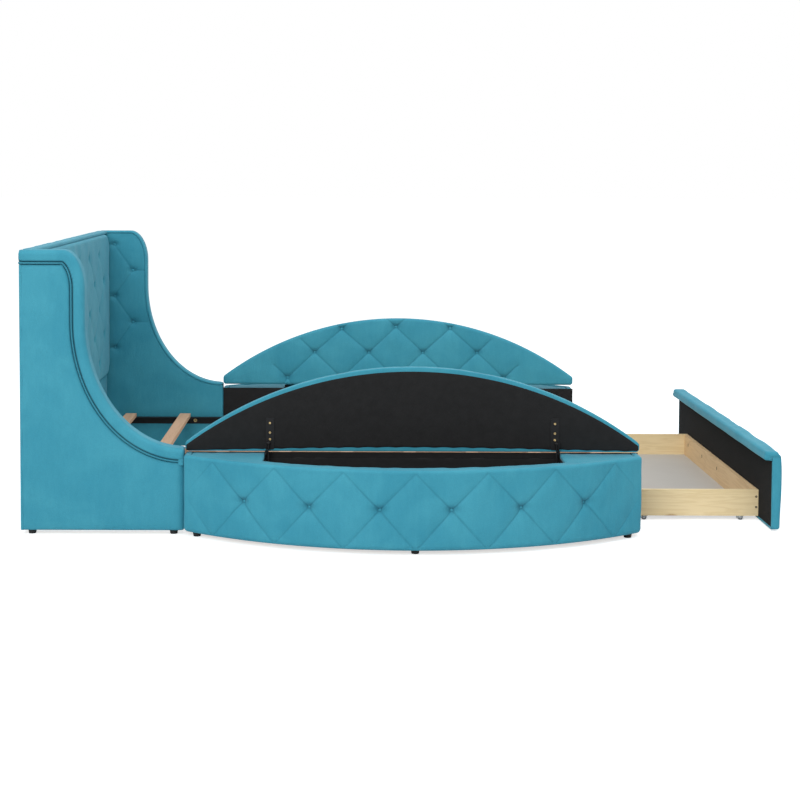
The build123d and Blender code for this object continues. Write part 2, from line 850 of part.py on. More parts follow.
def platform():
    """Rails, slats, the centre beam and its legs."""
    rail_start = head_frame_front + head_apron_thick + rail_end_gap
    rail_stop = box_end - rail_end_gap
    rail_low = slat_floor - rail_height
    side = block(
        rail_start, rail_stop, well_half - rail_steel, well_half - fit_gap, rail_low, slat_floor
    )
    side += block(
        rail_start,
        rail_stop,
        well_half - rail_flange,
        well_half - fit_gap,
        slat_floor - rail_steel,
        slat_floor,
    )
    cross_half = well_half - rail_flange - rail_end_gap
    cross = block(rail_stop - rail_steel, rail_stop, -cross_half, cross_half, rail_low, slat_floor)
    cross += block(
        rail_stop - rail_flange, rail_stop, -cross_half, cross_half, slat_floor - rail_steel, slat_floor
    )
    slat_half = well_half - slat_end_gap
    slats = []
    for step in range(slat_count):
        x = slat_first + step * slat_pitch
        slats.append(
            block(x - slat_width / 2, x + slat_width / 2, -slat_half, slat_half, slat_floor, slat_top)
        )
    beam_start = head_frame_front + head_apron_thick
    beam_stop = rail_stop - rail_flange
    beam_half = centre_beam_width / 2
    beam = block(beam_start, beam_stop, -beam_half, beam_half, rail_low, slat_floor)
    legs = []
    for share in leg_shares:
        x = beam_start + share * (beam_stop - beam_start)
        legs.append(rod((x, 0, skirt_height), (x, 0, rail_low), leg_radius))
    return {
        "platform_rails": [left_of(side), side, cross],
        "slats": slats,
        "centre_rail": [beam],
        "centre_legs": legs,
        "floor_glides": glides(),
    }


def glide(x, y):
    """A round glide under the frame."""
    foot = Cone(
        glide_radius - glide_taper,
        glide_radius,
        skirt_height,
        align=(Align.CENTER, Align.CENTER, Align.MIN),
    )
    return Pos(x, y, 0) * foot


def glides():
    """Glides under the wings, the storage boxes and the centre legs."""
    wing_y = (wing_frame_in + wing_frame_out) / 2
    places = [(wing_glide_inset, wing_y), (wing_reach - wing_glide_inset, wing_y)]
    for along in (-(box_half - box_glide_inset), 0, box_half - box_glide_inset):
        x = box_mid + along
        arc_y = bow_centre + math.sqrt(bow_radius**2 - along**2)
        outer = arc_y - box_glide_in
        places.append((x, max(outer, well_half + box_glide_in)))
        if along == 0:
            places.append((x, well_half + box_glide_in))
    feet = []
    for x, y in places:
        feet += [glide(x, -y), glide(x, y)]
    beam_start = head_frame_front + head_apron_thick
    beam_stop = box_end - rail_end_gap - rail_flange
    for share in leg_shares:
        feet.append(glide(beam_start + share * (beam_stop - beam_start), 0))
    return feet


# Foot drawer, drawn pulled out

def caster(x, y):
    """The steel yoke of a small caster, with its axle."""
    half = caster_length / 2
    wide = caster_width / 2
    top = drawer_ground_gap
    yoke = block(x - half, x + half, y - wide, y + wide, top - caster_steel, top)
    for side in (-1, 1):
        low, high = sorted((y + side * wide, y + side * (wide - caster_cheek)))
        cheek = block(x - half / 2, x + half / 2, low, high, wheel_radius / 2, top - caster_steel)
        yoke += cheek
    axle_half = wide - caster_cheek
    yoke += rod((x, y - axle_half, wheel_radius), (x, y + axle_half, wheel_radius), axle_radius)
    return yoke


def wheel(x, y):
    """The wheel of a caster, bored for its axle."""
    half = wheel_width / 2
    disc = rod((x, y - half, wheel_radius), (x, y + half, wheel_radius), wheel_radius)
    disc = chamfer(disc.edges().filter_by(GeomType.CIRCLE), caster_steel)
    start, end = (x, y - wheel_width, wheel_radius), (x, y + wheel_width, wheel_radius)
    return disc - rod(start, end, axle_radius + axle_play)


def face_pad():
    """The padded outside of the drawer front, turned over its ends and its bottom edge."""
    half = face_half + face_pad_side
    outer = face_open + face_board_thick + face_pad_thick
    body = block(face_open, outer, -half, half, face_bottom - caster_cheek, face_top)
    rims = body.faces().sort_by(Axis.X)[-1].edges()
    body = fillet(rims, face_pad_edge)
    return body - block(
        face_open - overrun, face_open + face_board_thick, -face_half, face_half, face_bottom, face_top
    )


def face_lip():
    """The padded roll along the top of the drawer front, which reaches in over the platform."""
    half = face_half + face_pad_side
    outer = face_open + lip_outer_reach
    roll = block(face_open - lip_reach, outer, -half, half, face_top - lip_radius / 2, face_top + lip_drop)
    roll -= block(face_open - fit_gap, outer + overrun, -half - overrun, half + overrun, 0, face_top)
    long_edges = roll.edges().filter_by(Axis.Y)
    upper = long_edges.group_by(Axis.Z)[-1].sort_by(Axis.X)
    inner_low = long_edges.group_by(Axis.Z)[0].sort_by(Axis.X)[0]
    roll = fillet([upper[0], inner_low], lip_edge)
    outer_top = roll.edges().filter_by(Axis.Y).group_by(Axis.Z)[-1].sort_by(Axis.X)[-1]
    return fillet(outer_top, lip_outer_edge)


def drawer():
    """The pull-out drawer with its padded front and its casters."""
    back = face_open - drawer_depth
    half = drawer_width / 2
    low, high = drawer_ground_gap, drawer_ground_gap + drawer_side_height
    board = drawer_board
    bottom_low = low + drawer_bottom_rise
    bottom_high = bottom_low + drawer_bottom_thick
    groove = block(
        back, face_open, -half + board - drawer_groove, half - board + drawer_groove, bottom_low, bottom_high
    )
    side = block(back, face_open, half - board, half, low, high)
    sides = [item - groove for item in (left_of(side), side)]
    inner = half - board
    front = block(face_open - board, face_open, -inner, inner, bottom_high, high)
    rear = block(back, back + board, -inner, inner, bottom_high, high)
    yokes = []
    wheels = {}
    for end, x in (("back", back + caster_back_inset), ("front", face_open - caster_front_inset)):
        for name, turn in (("left", -1), ("right", 1)):
            y = turn * (half - caster_side_inset - caster_width / 2)
            yokes.append(caster(x, y))
            wheels["caster_wheel_" + end + "_" + name] = [wheel(x, y)]
    board_block = block(
        face_open, face_open + face_board_thick, -face_half, face_half, face_bottom, face_top
    )
    nodes = {
        "drawer_sides": sides,
        "drawer_front_board": [front],
        "drawer_back_board": [rear],
        "drawer_bottom": [groove],
        "drawer_face_board": [board_block],
        "drawer_face_pad": [face_pad()],
        "drawer_face_lip": [face_lip()],
        "caster_yokes": yokes,
    }
    nodes.update(wheels)
    return nodes


def write_parts():
    """Write one STEP file per node, moved so that the origin is under the middle of the bed."""
    os.makedirs("parts", exist_ok=True)
    shift = Pos(-overall_length / 2, 0, 0)
    for group in (headboard(), wings(), storage_boxes(), lids(), platform(), drawer()):
        for name, items in group.items():
            solids = [shift * solid for item in items for solid in item.solids()]
            shape = solids[0] if len(solids) == 1 else Compound(children=solids)
            export_step(shape, "parts/" + name + ".step")


write_parts()
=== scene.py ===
"""The looks of an upholstered platform bed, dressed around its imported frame.

Lengths are in metres, in the frame's own axes: +X from the headboard to the foot, +Z up,
and the left side of the bed at low Y, which is the side that the camera sees.
"""

import json
import logging
import math
from collections.abc import Callable, Iterable, Sequence
from dataclasses import dataclass
from enum import Enum

import bmesh
import bpy
import numpy as np
from mathutils import Matrix, Vector


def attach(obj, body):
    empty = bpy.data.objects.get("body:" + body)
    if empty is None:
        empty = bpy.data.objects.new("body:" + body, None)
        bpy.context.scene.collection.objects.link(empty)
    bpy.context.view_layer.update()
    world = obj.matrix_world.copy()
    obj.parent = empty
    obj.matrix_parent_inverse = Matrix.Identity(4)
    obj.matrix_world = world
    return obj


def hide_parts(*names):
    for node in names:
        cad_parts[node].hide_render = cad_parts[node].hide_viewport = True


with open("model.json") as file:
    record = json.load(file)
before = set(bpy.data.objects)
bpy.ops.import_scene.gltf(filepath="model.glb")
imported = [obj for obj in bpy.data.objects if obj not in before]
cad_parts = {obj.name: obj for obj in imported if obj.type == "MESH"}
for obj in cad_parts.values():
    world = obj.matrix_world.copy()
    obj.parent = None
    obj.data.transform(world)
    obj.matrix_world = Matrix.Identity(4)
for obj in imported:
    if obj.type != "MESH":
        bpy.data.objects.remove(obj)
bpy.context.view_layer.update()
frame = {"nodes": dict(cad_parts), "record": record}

log = logging.getLogger("bed")

Point = tuple[float, float]
Array = np.ndarray
BASE = "base"
DRAWER = "drawer"
# Mesh attribute of painted shade: how far the velvet's colour is darkened in its creases, seams and
# dimples.
PAINTED_SHADE = "fold"


class Side(Enum):
    """The two sides of the bed, by the sign of their Y."""

    LEFT = -1
    RIGHT = 1

    @property
    def word(self) -> str:
        """The side's name as the frame's nodes spell it."""
        return self.name.lower()


class Grain(Enum):
    """The direction in which a board's fibres run."""

    ALONG_X = 0
    ALONG_Y = 1


# Shader maths


class Wire:
    """One output of a shader node, on which arithmetic adds Math nodes."""

    def __init__(self, graph: "Graph", socket: bpy.types.NodeSocket) -> None:
        """Keep the graph and the socket."""
        self.graph = graph
        self.socket = socket

    def _math(self, operation: str, first: "Wire | float", second: "Wire | float") -> "Wire":
        """Add one Math node of two inputs."""
        return self.graph.wire("ShaderNodeMath", {"operation": operation}, {0: first, 1: second})

    def __add__(self, other: "Wire | float") -> "Wire":
        """Sum."""
        return self._math("ADD", self, other)

    def __radd__(self, other: float) -> "Wire":
        """Sum, reflected."""
        return self._math("ADD", other, self)

    def __sub__(self, other: "Wire | float") -> "Wire":
        """Difference."""
        return self._math("SUBTRACT", self, other)

    def __rsub__(self, other: float) -> "Wire":
        """Difference, reflected."""
        return self._math("SUBTRACT", other, self)

    def __mul__(self, other: "Wire | float") -> "Wire":
        """Product."""
        return self._math("MULTIPLY", self, other)

    def __rmul__(self, other: float) -> "Wire":
        """Product, reflected."""
        return self._math("MULTIPLY", other, self)

    def smooth(self, low: float, high: float) -> "Wire":
        """Ease from 0 at low to 1 at high."""
        return self.graph.wire(
            "ShaderNodeMapRange",
            {"interpolation_type": "SMOOTHSTEP"},
            {"Value": self, "From Min": low, "From Max": high},
        )

    def sine(self) -> "Wire":
        """Sine of the value."""
        return self._math("SINE", self, 0.0)


class Graph:
    """A material's node tree, with one method that adds any node."""

    def __init__(self, name: str) -> None:
        """Make an empty material.

        Args:
            name: The material's name.
        """
        self.material = bpy.data.materials.new(name)
        self.material.use_nodes = True
        self.tree = self.material.node_tree
        self.tree.nodes.clear()

    def node(
        self, kind: str, settings: dict | None = None, inputs: dict | None = None
    ) -> bpy.types.Node:
        """Add one node.

        Args:
            kind: The node's type.
            settings: Attributes to set first; "stops" holds a colour ramp's places and colours.
            inputs: Values or wires for its sockets, by name or number.

        Returns:
            The new node.
        """
        made = self.tree.nodes.new(kind)
        for key, value in (settings or {}).items():
            if key == "stops":
                self._set_stops(made.color_ramp, value)
            else:
                setattr(made, key, value)
        for key, value in (inputs or {}).items():
            if isinstance(value, Wire):
                self.tree.links.new(value.socket, made.inputs[key])
            else:
                made.inputs[key].default_value = value
        return made

    @staticmethod
    def _set_stops(ramp: bpy.types.ColorRamp, stops: Sequence[tuple]) -> None:
        """Give a colour ramp its stops.

        Args:
            ramp: The ramp.
            stops: Each stop's place and colour.
        """
        while len(ramp.elements) < len(stops):
            ramp.elements.new(1.0)
        for element, (place, colour) in zip(ramp.elements, stops):
            element.position = place
            element.color = (*colour, 1.0)

    def wire(
        self, kind: str, settings: dict | None = None, inputs: dict | None = None, out: str | int = 0
    ) -> Wire:
        """Add one node and return one of its outputs."""
        return Wire(self, self.node(kind, settings, inputs).outputs[out])

    def place(self, scale: Sequence[float] = (1, 1, 1)) -> Wire:
        """The point on the object, stretched."""
        spot = self.wire("ShaderNodeTexCoord", out="Object")
        return self.wire("ShaderNodeMapping", None, {"Vector": spot, "Scale": scale})

    def noise(
        self, spot: Wire, scale: float, detail: float = 2.0, rough: float = 0.5, warp: float = 0.0
    ) -> Wire:
        """Smooth noise.

        Args:
            spot: Where it is read.
            scale: How fine it is.
            detail: How many finer layers it has.
            rough: How strong those layers are.
            warp: How far it is twisted.

        Returns:
            A value from 0 to 1.
        """
        sockets = {"Scale": scale, "Detail": detail, "Roughness": rough, "Distortion": warp}
        return self.wire("ShaderNodeTexNoise", None, {"Vector": spot, **sockets})

    def ramp(self, value: Wire, stops: Sequence[tuple]) -> Wire:
        """A colour picked along a ramp."""
        return self.wire("ShaderNodeValToRGB", {"stops": stops}, {0: value})

    def blend(
        self,
        share: Wire | float,
        first: Wire | Sequence[float],
        second: Wire | Sequence[float],
        mode: str = "MIX",
    ) -> Wire:
        """Two colours mixed.

        Args:
            share: How much of the second shows.
            first: A colour or a wire.
            second: A colour or a wire.
            mode: The Mix node's blend type.

        Returns:
            The mixed colour.
        """
        first = first if isinstance(first, Wire) else (*first, 1.0)
        second = second if isinstance(second, Wire) else (*second, 1.0)
        settings = {"data_type": "RGBA", "blend_type": mode}
        return self.wire("ShaderNodeMix", settings, {0: share, 6: first, 7: second}, out=2)

    def bump(self, height: Wire, distance: float) -> Wire:
        """A normal bent by a height in metres times distance."""
        return self.wire("ShaderNodeBump", None, {"Height": height, "Distance": distance, "Strength": 1.0})

    def surface(self, **sockets: Wire | float | Sequence[float]) -> bpy.types.Material:
        """Close the graph with one Principled shader.

        Args:
            **sockets: The shader's sockets, with underscores for spaces.

        Returns:
            The finished material.
        """
        inputs = {key.replace("_", " "): value for key, value in sockets.items()}
        shader = self.wire("ShaderNodeBsdfPrincipled", None, inputs)
        self.node("ShaderNodeOutputMaterial", None, {"Surface": shader})
        return self.material


# Finishes


@dataclass(frozen=True)
class Velvet:
    """Short-pile velvet: brushed patches, a fine pile, a soft sheen and painted shade in its folds."""

    name: str
    pile: Sequence[float]
    brushed: Sequence[float]
    sheen: Sequence[float]
    # deep: the dark colour painted into creases, seams and button dimples as shade.
    deep: Sequence[float]
    sheen_weight: float = 0.22
    sheen_rough: float = 0.38
    patch_scale: float = 5.0
    pile_scale: float = 420.0
    pile_height: float = 0.0006

    def material(self) -> bpy.types.Material:
        """Build the shader.

        Returns:
            The material.
        """
        graph = Graph(self.name)
        spot = graph.place()
        patches = graph.noise(spot, self.patch_scale, 3.0, 0.55, 0.6).smooth(0.34, 0.68)
        strokes = graph.noise(graph.place((9, 9, 2.2)), 6.0, 3.0, 0.6, 0.4).smooth(0.3, 0.75)
        pile = graph.noise(spot, self.pile_scale, 2.0, 0.7)
        colour = graph.blend(0.6 * patches + 0.25 * strokes, self.pile, self.brushed)
        fibres = graph.ramp(pile, ((0.25, (0, 0, 0)), (0.75, (1, 1, 1))))
        colour = graph.blend(0.10, colour, fibres, "OVERLAY")
        # Painted shade: the cloth is darkened towards deep by the mesh's painted-shade attribute.
        fold = graph.wire("ShaderNodeAttribute", {"attribute_name": PAINTED_SHADE}, out="Fac")
        colour = graph.blend(0.8 * fold, colour, self.deep)
        return graph.surface(
            Base_Color=colour,
            Roughness=0.62 + 0.16 * pile,
            Specular_IOR_Level=0.25,
            Sheen_Weight=self.sheen_weight,
            Sheen_Roughness=self.sheen_rough,
            Sheen_Tint=(*self.sheen, 1.0),
            Normal=graph.bump(pile + 0.4 * strokes, self.pile_height),
        )


@dataclass(frozen=True)
class LiningCloth:
    """Thin black lining with a visible weave."""

    name: str
    dark: Sequence[float]
    light: Sequence[float]
    thread: float = 0.0016
    height: float = 0.0003
    gloss: float = 0.14
    nap: float = 0.05

    def material(self) -> bpy.types.Material:
        """Build the shader.

        Returns:
            The material.
        """
        graph = Graph(self.name)
        turns = math.tau / self.thread
        spot = graph.node("ShaderNodeSeparateXYZ", None, {0: graph.place()})
        along = (Wire(graph, spot.outputs[0]) * turns).sine()
        up = ((Wire(graph, spot.outputs[2]) + Wire(graph, spot.outputs[1])) * turns).sine()
        weave = (along * up).smooth(-1.0, 1.0)
        dust = graph.noise(graph.place(), 38.0, 4.0, 0.6)
        colour = graph.blend(0.35 * weave + 0.65 * dust, self.dark, self.light)
        return graph.surface(
            Base_Color=colour,
            Roughness=0.9,
            Specular_IOR_Level=self.gloss,
            Sheen_Weight=self.nap,
            Sheen_Roughness=0.5,
            Normal=graph.bump(weave + 0.8 * dust, self.height),
        )


@dataclass(frozen=True)
class Timber:
    """Pale sawn softwood with growth lines, pores and a few knots."""

    name: str
    early: Sequence[float]
    late: Sequence[float]
    knot: Sequence[float]
    grain: Grain
    ring_scale: float = 38.0
    ring_stretch: float = 0.07
    fibre_stretch: float = 0.02
    rough: float = 0.52

    def _stretched(self, share: float) -> tuple[float, float, float]:
        """A scale that draws the noise out along the grain."""
        return (share, 1.0, 1.0) if self.grain is Grain.ALONG_X else (1.0, share, 1.0)

    def material(self) -> bpy.types.Material:
        """Build the shader.

        Returns:
            The material.
        """
        graph = Graph(self.name)
        stretch, fibre = self._stretched(self.ring_stretch), self._stretched(self.fibre_stretch)
        rings = graph.noise(graph.place(stretch), self.ring_scale, 3.0, 0.5, 1.6)
        bands = (rings * 26.0).sine().smooth(-0.6, 1.0)
        pores = graph.noise(graph.place(fibre), 520.0, 2.0, 0.6)
        shade = graph.noise(graph.place(stretch), 5.0, 2.0, 0.5)
        eyes = graph.wire(
            "ShaderNodeTexVoronoi",
            {"feature": "SMOOTH_F1"},
            {"Vector": graph.place([2.6 * share + 1.5 * (1 - share) for share in stretch]), "Scale": 3.1},
        )
        knot = 1 - eyes.smooth(0.02, 0.075)
        colour = graph.blend(0.45 * bands + 0.3 * shade + 0.15 * pores, self.early, self.late)
        colour = graph.blend(0.85 * knot, colour, self.knot)
        return graph.surface(
            Base_Color=colour,
            Roughness=self.rough + 0.14 * pores,
            Specular_IOR_Level=0.35,
            Normal=graph.bump(0.5 * pores + 0.5 * bands, 0.00025),
        )


@dataclass(frozen=True)
class Board:
    """Plain faced board or plywood with a faint fleck."""

    name: str
    base: Sequence[float]
    fleck: Sequence[float]
    rough: float = 0.6

    def material(self) -> bpy.types.Material:
        """Build the shader.

        Returns:
            The material.
        """
        graph = Graph(self.name)
        cloud = graph.noise(graph.place((0.6, 1.0, 1.0)), 9.0, 4.0, 0.6)
        grit = graph.noise(graph.place(), 260.0, 2.0, 0.6)
        colour = graph.blend(0.6 * cloud + 0.4 * grit, self.base, self.fleck)
        return graph.surface(
            Base_Color=colour,
            Roughness=self.rough + 0.1 * grit,
            Specular_IOR_Level=0.3,
            Normal=graph.bump(grit, 0.0002),
        )


@dataclass(frozen=True)
class Metal:
    """Painted, plated or bare metal with a fine grain and worn patches."""

    name: str
    colour: Sequence[float]
    worn: Sequence[float]
    metallic: float
    rough: float
    gloss: float = 0.5
    grit: float = 900.0

    def material(self) -> bpy.types.Material:
        """Build the shader.

        Returns:
            The material.
        """
        graph = Graph(self.name)
        grain = graph.noise(graph.place(), self.grit, 2.0, 0.6)
        smear = graph.noise(graph.place(), 42.0, 4.0, 0.6)
        colour = graph.blend(0.5 * smear.smooth(0.45, 0.8), self.colour, self.worn)
        return graph.surface(
            Base_Color=colour,
            Metallic=self.metallic,
            Roughness=self.rough + 0.18 * smear,
            Specular_IOR_Level=self.gloss,
            Normal=graph.bump(grain, 0.00012),
        )


Finish = Velvet | LiningCloth | Timber | Board | Metal

TEAL = Velvet(
    "teal_velvet",
    pile=(0.036, 0.265, 0.366),
    brushed=(0.056, 0.323, 0.424),
    sheen=(0.62, 0.86, 0.95),
    # The colour of the painted shade in creases, seams and dimples.
    deep=(0.004, 0.055, 0.085),
)
BLACK = LiningCloth("black_lining", (0.011, 0.011, 0.011), (0.026, 0.026, 0.027))
FACE_CLOTH = LiningCloth(
    "face_lining", (0.013, 0.013, 0.013), (0.028, 0.028, 0.0285), gloss=0.06, nap=0.0
)
PINE_X = Timber("pine_along", (0.86, 0.70, 0.43), (0.74, 0.57, 0.31), (0.38, 0.22, 0.09), Grain.ALONG_X)
PINE_Y = Timber("pine_across", (0.79, 0.57, 0.33), (0.65, 0.44, 0.235), (0.36, 0.21, 0.09), Grain.ALONG_Y)
SLAT = Timber("slat_wood", (0.72, 0.45, 0.29), (0.58, 0.34, 0.195), (0.35, 0.20, 0.10), Grain.ALONG_Y)
PLY = Board("frame_board", (0.52, 0.38, 0.23), (0.44, 0.31, 0.18))
GREY_BOARD = Board("drawer_base", (0.53, 0.505, 0.465), (0.455, 0.43, 0.395))
STEEL = Metal("black_steel", (0.006, 0.006, 0.007), (0.014, 0.014, 0.015), 0.0, 0.46, 0.3)
ZINC = Metal("caster_zinc", (0.52, 0.55, 0.57), (0.36, 0.38, 0.40), 0.35, 0.32)
GLIDE = Metal("black_glide", (0.012, 0.012, 0.012), (0.02, 0.02, 0.02), 0.0, 0.5)
BRASS = Metal("brass_screw", (0.62, 0.46, 0.22), (0.5, 0.36, 0.16), 1.0, 0.3)


# Studio

WHITE = (1.0, 1.0, 1.0, 1.0)


@dataclass(frozen=True)
class Lamp:
    """One square area lamp, pointed at a place."""

    name: str
    at: Sequence[float]
    to: Sequence[float]
    size: float
    power: float

    def build(self) -> None:
        """Hang the lamp."""
        data = bpy.data.lights.new(self.name, "AREA")
        data.shape = "SQUARE"
        data.size = self.size
        data.energy = self.power
        lamp = bpy.data.objects.new(self.name, data)
        lamp.location = self.at
        lamp.rotation_euler = (Vector(self.to) - Vector(self.at)).to_track_quat("-Z", "Y").to_euler()
        bpy.context.scene.collection.objects.link(lamp)


@dataclass
class Studio:
    """The floor, the soft lamps and the camera at the photograph's place."""

    focal_px: float = 1515.0
    image_px: float = 800.0
    sensor: float = 36.0
    centre_column: float = 349.8
    centre_row: float = 248.9
    camera_at: Sequence[float] = (-0.188, -5.997, 1.261)
    pitch: float = 3.0
    roll: float = 0.19
    sky: Sequence[float] = (0.93, 0.97, 1.0, 1.0)
    sky_strength: float = 0.54
    floor_size: float = 60.0
    floor_colour: Sequence[float] = (0.80, 0.80, 0.80, 1.0)
    floor_glow: float = 0.62
    lamps: Sequence[Lamp] = (
        Lamp("key", (-3.3, -8.6, 5.0), (0.0, 0.0, 0.35), 5.2, 445.0),
        Lamp("top", (0.4, -0.9, 4.6), (0.0, 0.3, 0.2), 4.2, 92.0),
        Lamp("rim", (3.8, 1.4, 2.6), (0.3, 0.0, 0.4), 2.4, 30.0),
    )

    def build(self) -> None:
        """Set the view, the world, the floor, the lamps and the camera."""
        bpy.context.scene.view_settings.view_transform = "Standard"
        self._world()
        self._floor()
        for lamp in self.lamps:
            lamp.build()
        self._camera()

    def _world(self) -> None:
        """A white backdrop for the camera and an even pale light for the bed."""
        world = bpy.data.worlds.new("studio")
        bpy.context.scene.world = world
        world.use_nodes = True
        nodes, links = world.node_tree.nodes, world.node_tree.links
        nodes.clear()
        path = nodes.new("ShaderNodeLightPath")
        seen = nodes.new("ShaderNodeMath")
        seen.operation = "MAXIMUM"
        links.new(path.outputs["Is Camera Ray"], seen.inputs[0])
        links.new(path.outputs["Is Glossy Ray"], seen.inputs[1])
        soft = nodes.new("ShaderNodeBackground")
        soft.inputs["Color"].default_value = self.sky
        soft.inputs["Strength"].default_value = self.sky_strength
        white = nodes.new("ShaderNodeBackground")
        white.inputs["Color"].default_value = WHITE
        mix = nodes.new("ShaderNodeMixShader")
        out = nodes.new("ShaderNodeOutputWorld")
        links.new(seen.outputs[0], mix.inputs[0])
        links.new(soft.outputs[0], mix.inputs[1])
        links.new(white.outputs[0], mix.inputs[2])
        links.new(mix.outputs[0], out.inputs["Surface"])

    def _floor(self) -> None:
        """A wide pale floor that looks white where no shadow lies."""
        graph = Graph("pale_floor")
        path = graph.node("ShaderNodeLightPath")
        seen = Wire(graph, path.outputs["Is Camera Ray"])
        paint = graph.wire("ShaderNodeBsdfDiffuse", None, {"Color": self.floor_colour})
        glow = graph.wire("ShaderNodeEmission", None, {"Color": WHITE, "Strength": self.floor_glow})
        lit = graph.wire("ShaderNodeAddShader", None, {0: paint, 1: glow})
        mixed = graph.wire("ShaderNodeMixShader", None, {0: seen, 1: paint, 2: lit})
        graph.node("ShaderNodeOutputMaterial", None, {"Surface": mixed})
        bm = bmesh.new()
        bmesh.ops.create_grid(bm, x_segments=1, y_segments=1, size=self.floor_size)
        mesh = bpy.data.meshes.new("floor")
        bm.to_mesh(mesh)
        bm.free()
        floor = bpy.data.objects.new("floor", mesh)
        mesh.materials.append(graph.material)
        bpy.context.scene.collection.objects.link(floor)

    def _camera(self) -> None:
        """The camera, turned and shifted as the photograph's parallel edges ask."""
        data = bpy.data.cameras.new("camera")
        data.sensor_width = self.sensor
        data.lens = self.focal_px / self.image_px * self.sensor
        data.shift_x = (self.image_px / 2 - self.centre_column) / self.image_px
        data.shift_y = (self.centre_row - self.image_px / 2) / self.image_px
        camera = bpy.data.objects.new("camera", data)
        level = Matrix.Rotation(math.radians(90.0 - self.pitch), 4, "X")
        tilt = Matrix.Rotation(math.radians(self.roll), 4, "Z")
        camera.matrix_world = Matrix.Translation(self.camera_at) @ level @ tilt
        bpy.context.scene.collection.objects.link(camera)
        bpy.context.scene.camera = camera


# Materials of the frame's own nodes

FINISH_OF_SLOT = {
    "teal_velvet": TEAL,
    "black_lining": BLACK,
    "black_cloth_board": FACE_CLOTH,
    "pine": PINE_Y,
    "slat_wood": SLAT,
    "frame_board": PLY,
    "drawer_base": GREY_BOARD,
    "black_steel": STEEL,
    "caster_zinc": ZINC,
    "black_glide": GLIDE,
}


class Palette:
    """Each finish's material, built once."""

    def __init__(self) -> None:
        """Start with no material built."""
        self._made: dict[str, bpy.types.Material] = {}

    def of(self, finish: Finish) -> bpy.types.Material:
        """The material of a finish.

        Args:
            finish: The finish.

        Returns:
            Its material, built the first time.
        """
        if finish.name not in self._made:
            self._made[finish.name] = finish.material()
        return self._made[finish.name]


def dress_frame(palette: Palette) -> None:
    """Give every node of the frame the material of its slot.

    Args:
        palette: Where the materials are built.
    """
    slots = {part["node"]: part["material_slot"] for part in frame["record"]["subparts"]}
    for name, node in frame["nodes"].items():
        finish = PINE_X if name == "drawer_sides" else FINISH_OF_SLOT[slots[name]]
        node.data.materials.clear()
        node.data.materials.append(palette.of(finish))


# Shapes shared by the upholstery

TINY = 1e-12
ROUND_STEPS = 9

# How near a point counts as on a pleat, on the outline or within the cloth's edge, in mesh steps

ON_PLEAT = 0.5
ON_OUTLINE = 0.35
AT_EDGE = 0.4


@dataclass(frozen=True)
class Ripple:
    """Small unevenness of stretched cloth, as waves of many directions."""

    height: float
    length: float
    seed: int
    squeeze: float = 1.0
    count: int = 10

    def at(self, along: Array, across: Array) -> Array:
        """The height of the cloth at places on its face.

        Args:
            along: First coordinate of each place.
            across: Second coordinate of each place.

        Returns:
            Heights, about zero in the mean.
        """
        draw = np.random.default_rng(self.seed)
        total = np.zeros_like(along)
        for _ in range(self.count):
            angle, phase = draw.uniform(0, math.tau, 2)
            wave = math.tau / (self.length * draw.uniform(0.6, 1.6))
            run = math.cos(angle) * along + self.squeeze * math.sin(angle) * across
            total += np.sin(wave * run + phase)
        return self.height * total / math.sqrt(self.count)


def segment_gap(points: Array, start: Array, end: Array) -> tuple[Array, Array]:
    """Distance from points to one segment.

    Args:
        points: Places, one a row.
        start: One end of the segment.
        end: Its other end.

    Returns:
        The distances, and the nearest places on the segment.
    """
    edge = end - start
    share = np.clip(((points - start) @ edge) / max(float(edge @ edge), TINY), 0.0, 1.0)
    foot = start + share[:, None] * edge
    return np.hypot(points[:, 0] - foot[:, 0], points[:, 1] - foot[:, 1]), foot


